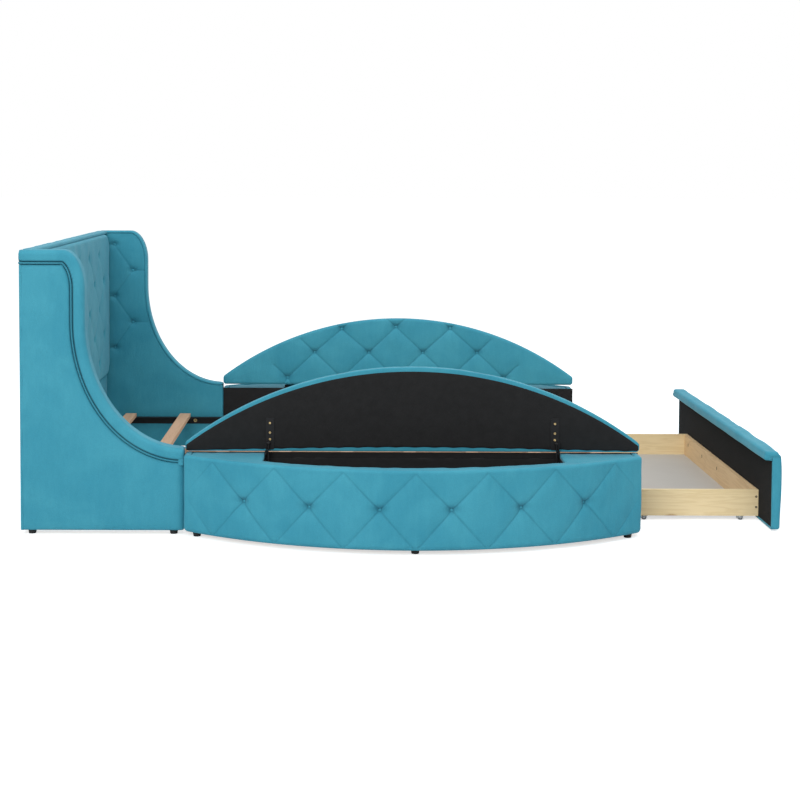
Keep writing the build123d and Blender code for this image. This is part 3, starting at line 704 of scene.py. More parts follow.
@dataclass(frozen=True)
class Tufting:
    """Buttons and sewn pleats, in the flat coordinates of a padded face."""

    buttons: Sequence[Point]
    pleats: Sequence[tuple[Point, Point]]
    pinch: float = 0.0100
    pinch_reach: float = 0.0120
    pinch_spread: float = 1.3
    hollow: float = 0.0055
    hollow_reach: float = 0.030
    crease: float = 0.0042
    crease_reach: float = 0.0042
    swell: float = 0.0028
    swell_reach: float = 0.024
    # shade, dot_shade and lee_shade: painted shade along the pleats, at each button and in a patch just
    # above each button.
    shade: float = 0.34
    dot_shade: float = 0.7
    lee_shade: float = 0.34
    lee_rise: float = 0.0070
    lee_reach: float = 0.0105
    line_reach: float = 0.0024
    dot_reach: float = 0.0050
    near_button: float = 0.06

    def _to_pleat(self, points: Array) -> tuple[Array, Array]:
        """Distance to the nearest pleat.

        Args:
            points: Places on the face, one a row.

        Returns:
            The distances, and the nearest places on the pleats.
        """
        best, spot = np.full(len(points), np.inf), points.copy()
        for start, end in self.pleats:
            gap, foot = segment_gap(points, np.array(start), np.array(end))
            closer = gap < best
            best[closer], spot[closer] = gap[closer], foot[closer]
        return best, spot

    def snapped(self, points: Array, reach: float) -> Array:
        """The points, moved onto a pleat where they lie within reach of it."""
        gap, spot = self._to_pleat(points)
        return np.where((gap < reach)[:, None], spot, points)

    def draw_in(self, points: Array) -> tuple[Array, Array]:
        """How the cloth is drawn in.

        Args:
            points: Places on the face, one a row.

        Returns:
            How deep it is drawn in at each place, and how much painted shade it gets, 0 to 1: along the
            pleats, at the buttons and just above each button.
        """
        to_button, above = np.full(len(points), np.inf), np.full(len(points), np.inf)
        for x, y in self.buttons:
            across, up = (points[:, 0] - x) / self.pinch_spread, points[:, 1] - y
            to_button = np.minimum(to_button, np.hypot(across, up))
            above = np.minimum(above, np.hypot(across / 2, up - self.lee_rise))
        to_pleat, _ = self._to_pleat(points)
        near = 0.6 + 0.4 * np.exp(-((to_button / self.near_button) ** 2))
        crease = near * np.exp(-to_pleat / self.crease_reach)
        swell = np.exp(-((to_pleat / self.swell_reach) ** 2))
        pinch = np.exp(-((to_button / self.pinch_reach) ** 2))
        hollow = np.exp(-((to_button / self.hollow_reach) ** 2))
        depth = self.crease * crease + self.swell * swell + self.pinch * pinch + self.hollow * hollow
        # Painted shade: darker along the pleats, at each button and just above each button, where a
        # dimple's upper edge would shade it.
        line = self.shade * near * np.exp(-((to_pleat / self.line_reach) ** 2))
        dot = self.dot_shade * np.exp(-((to_button / self.dot_reach) ** 2))
        lee = self.lee_shade * np.exp(-((above / self.lee_reach) ** 2))
        return depth, np.clip(line + dot + lee, 0.0, 1.0)

    def button_depth(self) -> float:
        """How deep the cloth is drawn in at a button."""
        return float(self.draw_in(np.array(self.buttons[:1]))[0][0])


@dataclass(frozen=True)
class Turnover:
    """How a cover turns over the edge of its face: a round, a straight side and a tuck."""

    radius: float
    depth: float
    tuck: float = 0.0
    back: float | None = None

    @property
    def cut(self) -> bool:
        """Whether the cloth ends square at the outline, with no turn."""
        return self.radius == 0

    @property
    def length(self) -> float:
        """The cloth past the face's flat part."""
        return 0.0 if self.cut else self.radius * math.pi / 2 + self.depth - self.radius + self.tuck

    def fold(self, run: Array) -> tuple[Array, Array]:
        """Where the cloth lies past the face's flat part.

        Args:
            run: Cloth from the end of the flat part.

        Returns:
            The distance outward, and the depth behind the face.
        """
        if self.cut:
            return np.zeros_like(run), np.zeros_like(run)
        quarter = self.radius * math.pi / 2
        turn = np.clip(run, 0.0, quarter) / self.radius
        side = np.clip(run - quarter, 0.0, self.depth - self.radius)
        tuck = np.clip(run - quarter - self.depth + self.radius, 0.0, self.tuck)
        return self.radius * np.sin(turn) - tuck, self.radius * (1.0 - np.cos(turn)) + side


def nearest_edge(points: Array, loops: Sequence[Array]) -> tuple[Array, Array, Array]:
    """The nearest place on closed loops.

    Args:
        points: Places, one a row.
        loops: Corner points of each loop.

    Returns:
        Distances, the nearest places, and which points the loops enclose.
    """
    best = np.full(len(points), np.inf)
    spot = points.copy()
    inside = np.zeros(len(points), bool)
    for loop in loops:
        for start, end in zip(loop, np.roll(loop, -1, axis=0)):
            gap, foot = segment_gap(points, start, end)
            closer = gap < best
            best[closer] = gap[closer]
            spot[closer] = foot[closer]
            if start[1] != end[1]:
                crosses = (start[1] > points[:, 1]) != (end[1] > points[:, 1])
                meet = start[0] + (points[:, 1] - start[1]) * (end[0] - start[0]) / (end[1] - start[1])
                inside ^= crosses & (points[:, 0] < meet)
    return best, spot, inside


@dataclass
class Cover:
    """Padded cloth over a flat face, cut to an outline and turned over its edge."""

    loops: Sequence[Array]
    turnover: Turnover
    pitch: float = 0.0046
    tufting: Tufting | None = None
    ripple: Ripple | None = None
    crown: float = 0.0035
    crown_reach: float = 0.045
    bulge: Callable[[Array], Array] | None = None

    def _grid(self) -> tuple[bmesh.types.BMesh, Array]:
        """A grid over the outline and the cloth past it.

        Returns:
            The grid, and where its points lie on the flat face.
        """
        reach = self.turnover.length + 2 * self.pitch
        corners = np.concatenate(self.loops)
        low, high = corners.min(0) - reach, corners.max(0) + reach
        columns, rows = (int(math.ceil(span / self.pitch)) for span in high - low)
        bm = bmesh.new()
        bmesh.ops.create_grid(bm, x_segments=columns, y_segments=rows, size=0.5)
        flat = (np.array([vert.co[:2] for vert in bm.verts]) + 0.5) * (high - low) + low
        if self.tufting:
            flat = self.tufting.snapped(flat, ON_PLEAT * self.pitch)
        return bm, flat

    def _trim(self, bm: bmesh.types.BMesh, run: Array) -> tuple[Array, Array]:
        """Cut away what lies beyond the cloth's edge.

        Args:
            bm: The grid.
            run: How far past the face's flat part each point lies.

        Returns:
            The numbers of the points that stay, and which of them are on the rim.
        """
        number = bm.verts.layers.int.new("number")
        beyond = []
        for index, vert in enumerate(bm.verts):
            vert[number] = index
            if run[index] > self.turnover.length + AT_EDGE * self.pitch:
                beyond.append(vert)
        bmesh.ops.delete(bm, geom=beyond, context="VERTS")
        kept = np.array([vert[number] for vert in bm.verts])
        return kept, np.array([vert.is_boundary for vert in bm.verts])

    def _drawn_in(self, where: Array, gap: Array, shown: Array) -> tuple[Array, Array]:
        """How far the cloth lies under its crest.

        Args:
            where: Places on the face, one a row.
            gap: How far inside the outline each lies.
            shown: How much of the relief shows there, less where the cloth turns over.

        Returns:
            The depths, and how much painted shade each place gets.
        """
        drop, crease_shade = self.crown * np.exp(-gap / self.crown_reach), np.zeros(len(where))
        if self.tufting:
            drawn, crease_shade = self.tufting.draw_in(where)
            drop, crease_shade = drop + drawn, crease_shade * shown
        if self.ripple:
            drop = drop + self.ripple.at(where[:, 0], where[:, 1])
        if self.bulge:
            drop = drop - self.bulge(where)
        return np.maximum(drop * shown, -self.turnover.depth), crease_shade

    def _close(self, bm: bmesh.types.BMesh) -> None:
        """Carry the rim down to the back, where the cover has one, and close it.

        Args:
            bm: The open mesh.
        """
        edges = [edge for edge in bm.edges if edge.is_boundary]
        if self.turnover.back is not None:
            for vert in bmesh.ops.extrude_edge_only(bm, edges=edges)["geom"]:
                if isinstance(vert, bmesh.types.BMVert):
                    vert.co.z = -self.turnover.back
            edges = [edge for edge in bm.edges if edge.is_boundary]
        bmesh.ops.triangle_fill(bm, edges=edges, use_beauty=False)

    def shape(self, place: Matrix) -> bmesh.types.BMesh:
        """Lay the cover.

        Args:
            place: From the face's coordinates, outward last, to the drawing's.

        Returns:
            The closed mesh.
        """
        bm, flat = self._grid()
        gap, spot, inside = nearest_edge(flat, self.loops)
        near = gap < ON_OUTLINE * self.pitch
        flat, gap, inside = np.where(near[:, None], spot, flat), np.where(near, 0.0, gap), inside | near
        kept, rim = self._trim(bm, np.where(inside, 0.0, gap))
        flat, gap, spot, inside = flat[kept], gap[kept], spot[kept], inside[kept]
        apart = gap[:, None]
        away = np.divide(flat - spot, apart, out=np.zeros_like(flat), where=apart > 1e-9)
        run = np.where(rim, self.turnover.length, np.where(inside, 0.0, gap))
        outward, depth = self.turnover.fold(run)
        where = np.where(inside[:, None] & ~rim[:, None], flat, spot + away * outward[:, None])
        shown = 1.0 - np.clip(depth / self.turnover.depth, 0.0, 1.0)
        drop, crease_shade = self._drawn_in(where, np.where(inside, gap, 0.0), shown)
        depth = np.minimum(depth + drop, np.maximum(depth, self.turnover.depth - 0.001))
        # Each vertex carries its painted shade, which the velvet's shader reads.
        fold = bm.verts.layers.float.new(PAINTED_SHADE)
        for vert, (x, y), down, share in zip(bm.verts, where, depth, crease_shade):
            vert.co = (x, y, -down)
            vert[fold] = share
        self._close(bm)
        bmesh.ops.transform(bm, matrix=place, verts=bm.verts)
        bmesh.ops.recalc_face_normals(bm, faces=bm.faces)
        return bm


def run_lengths(points: Array) -> Array:
    """How far along a line each of its points lies."""
    return np.concatenate([[0], np.cumsum(np.linalg.norm(np.diff(points, axis=0), axis=1))])


def resampled(points: Array, lengths: Array, places: Array) -> Array:
    """A line's points at given distances along it."""
    return np.stack([np.interp(places, lengths, column) for column in points.T], axis=1)


def soft_loop(corners: Sequence[tuple[float, float, float]], pitch: float) -> Array:
    """A closed section with rounded corners, in even steps.

    Args:
        corners: Each corner's two coordinates and its radius.
        pitch: The length of a step.

    Returns:
        The section's points.
    """
    points: list[Array] = []
    count = len(corners)
    for index, (x, y, radius) in enumerate(corners):
        here = np.array((x, y))
        back = np.array(corners[index - 1][:2]) - here
        ahead = np.array(corners[(index + 1) % count][:2]) - here
        back, ahead = back / np.linalg.norm(back), ahead / np.linalg.norm(ahead)
        if radius <= 0:
            points.append(here)
            continue
        half = math.acos(float(np.clip(back @ ahead, -1, 1))) / 2
        middle = (back + ahead) / np.linalg.norm(back + ahead)
        centre = here + middle * radius / math.sin(half)
        first = here + back * radius / math.tan(half)
        last = here + ahead * radius / math.tan(half)
        for share in np.linspace(0, 1, ROUND_STEPS):
            ray = (first - centre) * (1 - share) + (last - centre) * share
            points.append(centre + ray / np.linalg.norm(ray) * radius)
    closed = np.array(points + [points[0]])
    lengths = run_lengths(closed)
    steps = max(8, int(round(lengths[-1] / pitch)))
    return resampled(closed, lengths, np.linspace(0, lengths[-1], steps, endpoint=False))


@dataclass
class Roll:
    """A closed section carried along a path, as a padded roll or a strip of cloth."""

    path: Array
    outward: Array
    sideways: Array
    section: Array
    relief: Callable[[Array, Array, Array], Array] | None = None
    slide: Callable[[Array, Array, Array], Array] | None = None
    fold: Callable[[Array, Array, Array], Array] | None = None
    looped: bool = False

    def shape(self) -> bmesh.types.BMesh:
        """Carry the section along the path.

        Returns:
            The closed mesh. A section point's first coordinate runs outward and its second
            sideways. Slide moves it along the path and sideways, relief gives how far it is
            drawn in towards the section's middle, and fold how much painted shade it gets.
        """
        steps, around = len(self.path), len(self.section)
        bm = bmesh.new()
        rows = steps if self.looped else steps - 1
        bmesh.ops.create_grid(bm, x_segments=around, y_segments=rows, size=0.5)
        spots = np.array([vert.co[:2] for vert in bm.verts]) + 0.5
        column = np.rint(spots[:, 0] * around).astype(int) % around
        row = np.rint(spots[:, 1] * rows).astype(int) % steps
        normal = loop_normals(self.section)
        spot, run, ahead = self.section[column].copy(), run_lengths(self.path)[row], np.zeros(len(row))
        if self.slide:
            moved = self.slide(run, spot[:, 0], spot[:, 1])
            ahead, run = moved[:, 0], run + moved[:, 0]
            spot[:, 1] += moved[:, 1]
        if self.fold:
            # The painted shade of each vertex, for the velvet's shader.
            layer = bm.verts.layers.float.new(PAINTED_SHADE)
            for vert, share in zip(bm.verts, self.fold(run, spot[:, 0], spot[:, 1])):
                vert[layer] = share
        if self.relief:
            spot = spot - normal[column] * self.relief(run, spot[:, 0], spot[:, 1])[:, None]
        tangent = np.gradient(self.path, axis=0)
        tangent /= np.linalg.norm(tangent, axis=1)[:, None]
        place = self.path[row] + self.outward[row] * spot[:, :1] + self.sideways[row] * spot[:, 1:]
        place = place + tangent[row] * ahead[:, None]
        for vert, co in zip(bm.verts, place):
            vert.co = co
        bmesh.ops.remove_doubles(bm, verts=bm.verts, dist=1e-6)
        if not self.looped:
            bmesh.ops.holes_fill(bm, edges=[edge for edge in bm.edges if edge.is_boundary], sides=0)
        bmesh.ops.recalc_face_normals(bm, faces=bm.faces)
        return bm


def uneven_strip(
    path: Array, outward: Sequence[float], corners: Sequence[tuple[float, float, float]], ripple: Ripple
) -> Roll:
    """A straight, level strip of slightly uneven cloth.

    Args:
        path: Its line.
        outward: The direction of its section's first coordinate; the second runs up.
        corners: Each corner of its section and the corner's radius.
        ripple: How uneven it is.

    Returns:
        The roll.
    """

    def relief(run: Array, out: Array, up: Array) -> Array:
        """Drawn in a little all round."""
        return np.abs(ripple.at(run, out))

    return Roll(path, repeated(outward, path), repeated(UP, path), soft_loop(corners, 0.003), relief)


def even_line(points: Array, pitch: float) -> Array:
    """An open line in even steps.

    Args:
        points: The line's points.
        pitch: The longest step.

    Returns:
        Its points in even steps.
    """
    lengths = run_lengths(points)
    steps = max(2, int(math.ceil(lengths[-1] / pitch)) + 1)
    return resampled(points, lengths, np.linspace(0, lengths[-1], steps))


def repeated(direction: Sequence[float], path: Array) -> Array:
    """One direction for every point of a path."""
    return np.tile(direction, (len(path), 1))


def level(points: Array) -> Array:
    """Points of X and Y in space, at Z = 0."""
    return np.column_stack([points, np.zeros(len(points))])


def loop_normals(loop: Array) -> Array:
    """Outward unit normals of a closed line in its plane.

    Args:
        loop: The line's points.

    Returns:
        A normal for each of them.
    """
    ahead = np.roll(loop, -1, axis=0) - np.roll(loop, 1, axis=0)
    normals = np.stack([ahead[:, 1], -ahead[:, 0]], axis=1)
    normals /= np.maximum(np.linalg.norm(normals, axis=1), TINY)[:, None]
    x, y = loop.T
    area = np.sum(x * np.roll(y, -1) - np.roll(x, -1) * y)
    return normals * math.copysign(1.0, area)


def line_normals(points: Array) -> Array:
    """Left-hand unit normals of a line in its plane.

    Args:
        points: The line's points.

    Returns:
        A normal for each of them.
    """
    ahead = np.gradient(points, axis=0)
    ahead /= np.linalg.norm(ahead, axis=1)[:, None]
    return np.stack([-ahead[:, 1], ahead[:, 0]], axis=1)


def frame_matrix(
    origin: Sequence[float], right: Sequence[float], up: Sequence[float], out: Sequence[float]
) -> Matrix:
    """From face coordinates to the drawing's, by the face's origin and its three directions."""
    turned = Matrix((right, up, out)).transposed().to_4x4()
    return Matrix.Translation(origin) @ turned


def mirrored_y(bm: bmesh.types.BMesh) -> bmesh.types.BMesh:
    """A copy on the other side of the bed.

    Args:
        bm: The mesh, which stays as it is.

    Returns:
        The mirrored copy.
    """
    copy = bm.copy()
    bmesh.ops.transform(copy, matrix=Matrix.Scale(-1, 4, (0, 1, 0)), verts=copy.verts)
    bmesh.ops.reverse_faces(copy, faces=copy.faces)
    return copy


def join(parts: Iterable[bmesh.types.BMesh]) -> bmesh.types.BMesh:
    """One mesh of several.

    Args:
        parts: The meshes, which are used up.

    Returns:
        The whole.
    """
    whole = bmesh.new()
    for part in parts:
        mesh = bpy.data.meshes.new("part")
        part.to_mesh(mesh)
        whole.from_mesh(mesh)
        bpy.data.meshes.remove(mesh)
        part.free()
    return whole


def covered_button(
    point: Sequence[float], outward: Sequence[float], radius: float = 0.0068, rise: float = 0.0030
) -> bmesh.types.BMesh:
    """One small button covered in the same cloth, with its back in the pad.

    Args:
        point: Its middle.
        outward: The direction that it faces.
        radius: Its radius.
        rise: How far it stands out from its middle.

    Returns:
        Its mesh.
    """
    bm = bmesh.new()
    bmesh.ops.create_uvsphere(bm, u_segments=18, v_segments=10, radius=1.0)
    turn = Vector(outward).to_track_quat("Z", "Y").to_matrix().to_4x4()
    flattened = Matrix.Diagonal((radius, radius, rise, 1))
    bmesh.ops.transform(bm, matrix=Matrix.Translation(point) @ turn @ flattened, verts=bm.verts)
    return bm


class Workshop:
    """Turns finished meshes into pieces of the scene."""

    shift = Vector((-1.3205, 0.0, 0.0))

    def __init__(self, palette: Palette) -> None:
        """Keep the materials."""
        self.palette = palette

    def piece(
        self,
        bm: bmesh.types.BMesh,
        name: str,
        finish: Finish,
        body: str,
        stands_for: Sequence[str] = (),
    ) -> None:
        """Make one piece and hand it to the frame.

        Args:
            bm: Its mesh, in drawing coordinates; it is used up.
            name: The piece's name.
            finish: Its finish.
            body: The body that it rides on.
            stands_for: The frame's nodes that it replaces; a screw replaces none.
        """
        bmesh.ops.translate(bm, vec=self.shift, verts=bm.verts)
        for face in bm.faces:
            face.smooth = True
        mesh = bpy.data.meshes.new(name)
        bm.to_mesh(mesh)
        bm.free()
        mesh.materials.append(self.palette.of(finish))
        made = bpy.data.objects.new(name, mesh)
        bpy.context.scene.collection.objects.link(made)
        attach(made, body)
        if stands_for:
            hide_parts(*stands_for)
        log.info("%s: %d faces on %s", name, len(mesh.polygons), body)

    def pair(
        self, right: bmesh.types.BMesh, stem: str, finish: Finish, node: str
    ) -> None:
        """Make the same piece on both sides of the bed, the left one first.

        Args:
            right: The right side's mesh; it is used up.
            stem: The pieces' name, without the side.
            finish: Their finish.
            node: The frame's node that each replaces, with braces where the side's name goes.
        """
        left = mirrored_y(right)
        for side, mesh in ((Side.LEFT, left), (Side.RIGHT, right)):
            self.piece(mesh, f"{stem}_{side.word}", finish, BASE, [node.format(side.word)])


# The bed's own sizes, in drawing coordinates, with the back of the headboard at X = 0

UP = (0.0, 0.0, 1.0)
DOWN = (0.0, 0.0, -1.0)
SIDEWAYS = (0.0, 1.0, 0.0)
INWARD = (0.0, -1.0, 0.0)
FOOTWARD = (1.0, 0.0, 0.0)
HEADWARD = (-1.0, 0.0, 0.0)
WELL_HALF = 0.772
SKIRT = 0.015
TUFT_PITCH = 0.240
TUFT_RISE = 0.116
CORNER_STEPS = 8
SAME = 1e-4


def rectangle(low: Point, high: Point, corner: float = 0.0) -> Array:
    """A rectangle's outline.

    Args:
        low: The corner with the least coordinates.
        high: The opposite corner.
        corner: The radius of its corners, or zero for sharp ones.

    Returns:
        The outline's points.
    """
    (x0, y0), (x1, y1) = low, high
    if not corner:
        return np.array([(x0, y0), (x1, y0), (x1, y1), (x0, y1)])
    centres = (
        (x1 - corner, y0 + corner, -90),
        (x1 - corner, y1 - corner, 0),
        (x0 + corner, y1 - corner, 90),
        (x0 + corner, y0 + corner, 180),
    )
    points = []
    for x, y, start in centres:
        for step in range(CORNER_STEPS + 1):
            angle = math.radians(start + step * 90 / CORNER_STEPS)
            points.append((x + corner * math.cos(angle), y + corner * math.sin(angle)))
    return np.array(points)


def bow_outline(
    middle: float, half: float, rear: float, centre: float, radius: float, steps: int = 90
) -> Array:
    """The outline between a straight rear edge and a bowed front, ends cut square.

    Args:
        middle: X of its middle.
        half: Half its length.
        rear: Y of the straight edge.
        centre: Y of the bow's centre.
        radius: The bow's radius.
        steps: Points along the bow.

    Returns:
        The outline's points.
    """
    across = np.linspace(half, -half, steps)
    arc = [(middle + x, centre + math.sqrt(radius**2 - x**2)) for x in across]
    return np.array([(middle - half, rear), (middle + half, rear)] + arc)


def flat_cloth(loop: Array, thick: float, pitch: float, ripple: Ripple | None = None) -> Cover:
    """Thin cloth that ends square at its outline."""
    return Cover([loop], Turnover(0.0, thick, back=thick), pitch, ripple=ripple, crown=0.0)


def bow_radius(half: float, rise: float) -> float:
    """The radius of a bow by half its length and its rise."""
    return (half**2 + rise**2) / (2 * rise)


@dataclass
class Headboard:
    """The tufted pad between the wings, the plain cover under it, the back and the cap."""

    half: float = 0.766
    front: float = 0.062
    low: float = 0.345
    high: float = 0.9697
    corner: float = 0.070
    edge: float = 0.014
    thick: float = 0.030
    pad_pitch: float = 0.0034
    pad_ripple: Ripple = Ripple(0.0008, 0.11, 3)
    first_row: float = 0.890
    frame_front: float = 0.032
    apron_thick: float = 0.014
    apron_high: float = 0.341
    apron_edge: float = 0.006
    apron_pitch: float = 0.009
    apron_ripple: Ripple = Ripple(0.0012, 0.22, 5)
    cloth: float = 0.0012
    cloth_gap: float = 0.0002
    cloth_drop: float = 0.0005
    cloth_pitch: float = 0.05
    back_half: float = 0.7897
    back_edge: float = 0.003
    back_thick: float = 0.0098
    back_pitch: float = 0.010
    back_ripple: Ripple = Ripple(0.0010, 0.30, 7)
    cap_low: float = 0.970
    cap_high: float = 0.984
    cap_reach: float = 0.046
    cap_round: float = 0.007
    cap_hem: float = 0.003
    cap_gap: float = 0.0004
    cap_pitch: float = 0.012
    cap_ripple: Ripple = Ripple(0.0007, 0.16, 11)

    def rows(self) -> list[list[Point]]:
        """Button places, row by row from the top.

        Returns:
            The rows, each with its places as Y and Z.
        """
        rows, height, shifted = [], self.first_row, False
        while height > self.low + TUFT_RISE / 2:
            first = TUFT_PITCH / 2 if shifted else 0.0
            count = math.floor((self.half - TUFT_PITCH / 3 - first) / TUFT_PITCH)
            steps = [first + step * TUFT_PITCH for step in range(count + 1)]
            rows.append([(y, height) for y in sorted({sign * step for step in steps for sign in (-1, 1)})])
            height -= TUFT_RISE
            shifted = not shifted
        return rows

    def tufting(self) -> Tufting:
        """The buttons and pleats of the pad.

        Returns:
            The tufting, in Y and Z.
        """
        rows = self.rows()
        pleats = [
            (here, other)
            for upper, lower in zip(rows, rows[1:])
            for here in upper
            for other in lower
            if abs(abs(here[0] - other[0]) - TUFT_PITCH / 2) < SAME
        ]
        return Tufting(
            [place for row in rows for place in row],
            pleats,
            pinch=0.0060,
            pinch_spread=0.8,
            hollow=0.0026,
            crease=0.0016,
            swell=0.0010,
            shade=0.08,
            dot_shade=0.2,
            lee_shade=0.12,
        )

    def dress(self, shop: Workshop) -> None:
        """Make all its cloth.

        Args:
            shop: Where the pieces are made.
        """
        self._dress_pad(shop)
        self._dress_front(shop)
        self._dress_back(shop)

    def _dress_pad(self, shop: Workshop) -> None:
        """Make the tufted pad and its buttons.

        Args:
            shop: Where the pieces are made.
        """
        tufting = self.tufting()
        low = (-self.half + self.edge, self.low + self.edge)
        high = (self.half - self.edge, self.high - self.edge)
        loop = rectangle(low, high, self.corner - self.edge)
        pad = Cover([loop], Turnover(self.edge, self.thick), self.pad_pitch, tufting, self.pad_ripple)
        place = frame_matrix((self.front, 0, 0), SIDEWAYS, UP, FOOTWARD)
        shop.piece(pad.shape(place), "headboard_tufted_pad", TEAL, BASE, ["headboard_pad"])
        deep = self.front - tufting.button_depth()
        dots = join(covered_button((deep, y, z), FOOTWARD) for y, z in tufting.buttons)
        shop.piece(dots, "headboard_covered_buttons", TEAL, BASE, ["headboard_buttons"])

    def _dress_front(self, shop: Workshop) -> None:
        """Make the padded lower cover and the thin cloth over the rest of the frame's front.

        Args:
            shop: Where the pieces are made.
        """
        edge, thick = self.apron_edge, self.apron_thick
        loop = rectangle((-self.half + edge, SKIRT + edge), (self.half - edge, self.apron_high - edge))
        apron = Cover(
            [loop], Turnover(edge, thick), self.apron_pitch, ripple=self.apron_ripple, crown=0.002
        )
        place = frame_matrix((self.frame_front + thick, 0, 0), SIDEWAYS, UP, FOOTWARD)
        shop.piece(apron.shape(place), "headboard_lower_cover", TEAL, BASE, ["headboard_apron"])
        reach = WELL_HALF - self.cloth_gap
        loop = rectangle((-reach, SKIRT), (reach, self.cap_low - self.cloth_drop))
        behind = flat_cloth(loop, self.cloth, self.cloth_pitch)
        place = frame_matrix((self.frame_front + self.cloth, 0, 0), SIDEWAYS, UP, FOOTWARD)
        shop.piece(behind.shape(place), "headboard_front_cloth", TEAL, BASE, ["headboard_apron"])

    def _dress_back(self, shop: Workshop) -> None:
        """Make the cover of the back and the cap along the top.

        Args:
            shop: Where the pieces are made.
        """
        edge, half = self.back_edge, self.back_half
        loop = rectangle((-half + edge, SKIRT + edge), (half - edge, self.cap_low - edge))
        back = Cover(
            [loop], Turnover(edge, self.back_thick), self.back_pitch, ripple=self.back_ripple, crown=0.001
        )
        place = frame_matrix((0, 0, 0), SIDEWAYS, UP, HEADWARD)
        shop.piece(back.shape(place), "headboard_back_cloth", TEAL, BASE, ["headboard_back_cover"])
        end = WELL_HALF - self.cap_gap
        path = even_line(np.array([(0, -end, 0), (0, end, 0)]), self.cap_pitch)
        corners = [
            (0, self.cap_low, 0),
            (self.cap_reach, self.cap_low, self.cap_hem),
            (self.cap_reach, self.cap_high, self.cap_round),
            (0, self.cap_high, self.cap_round),
        ]

        cap = uneven_strip(path, FOOTWARD, corners, self.cap_ripple)
        shop.piece(cap.shape(), "headboard_cap", TEAL, BASE, ["headboard_back_cover"])


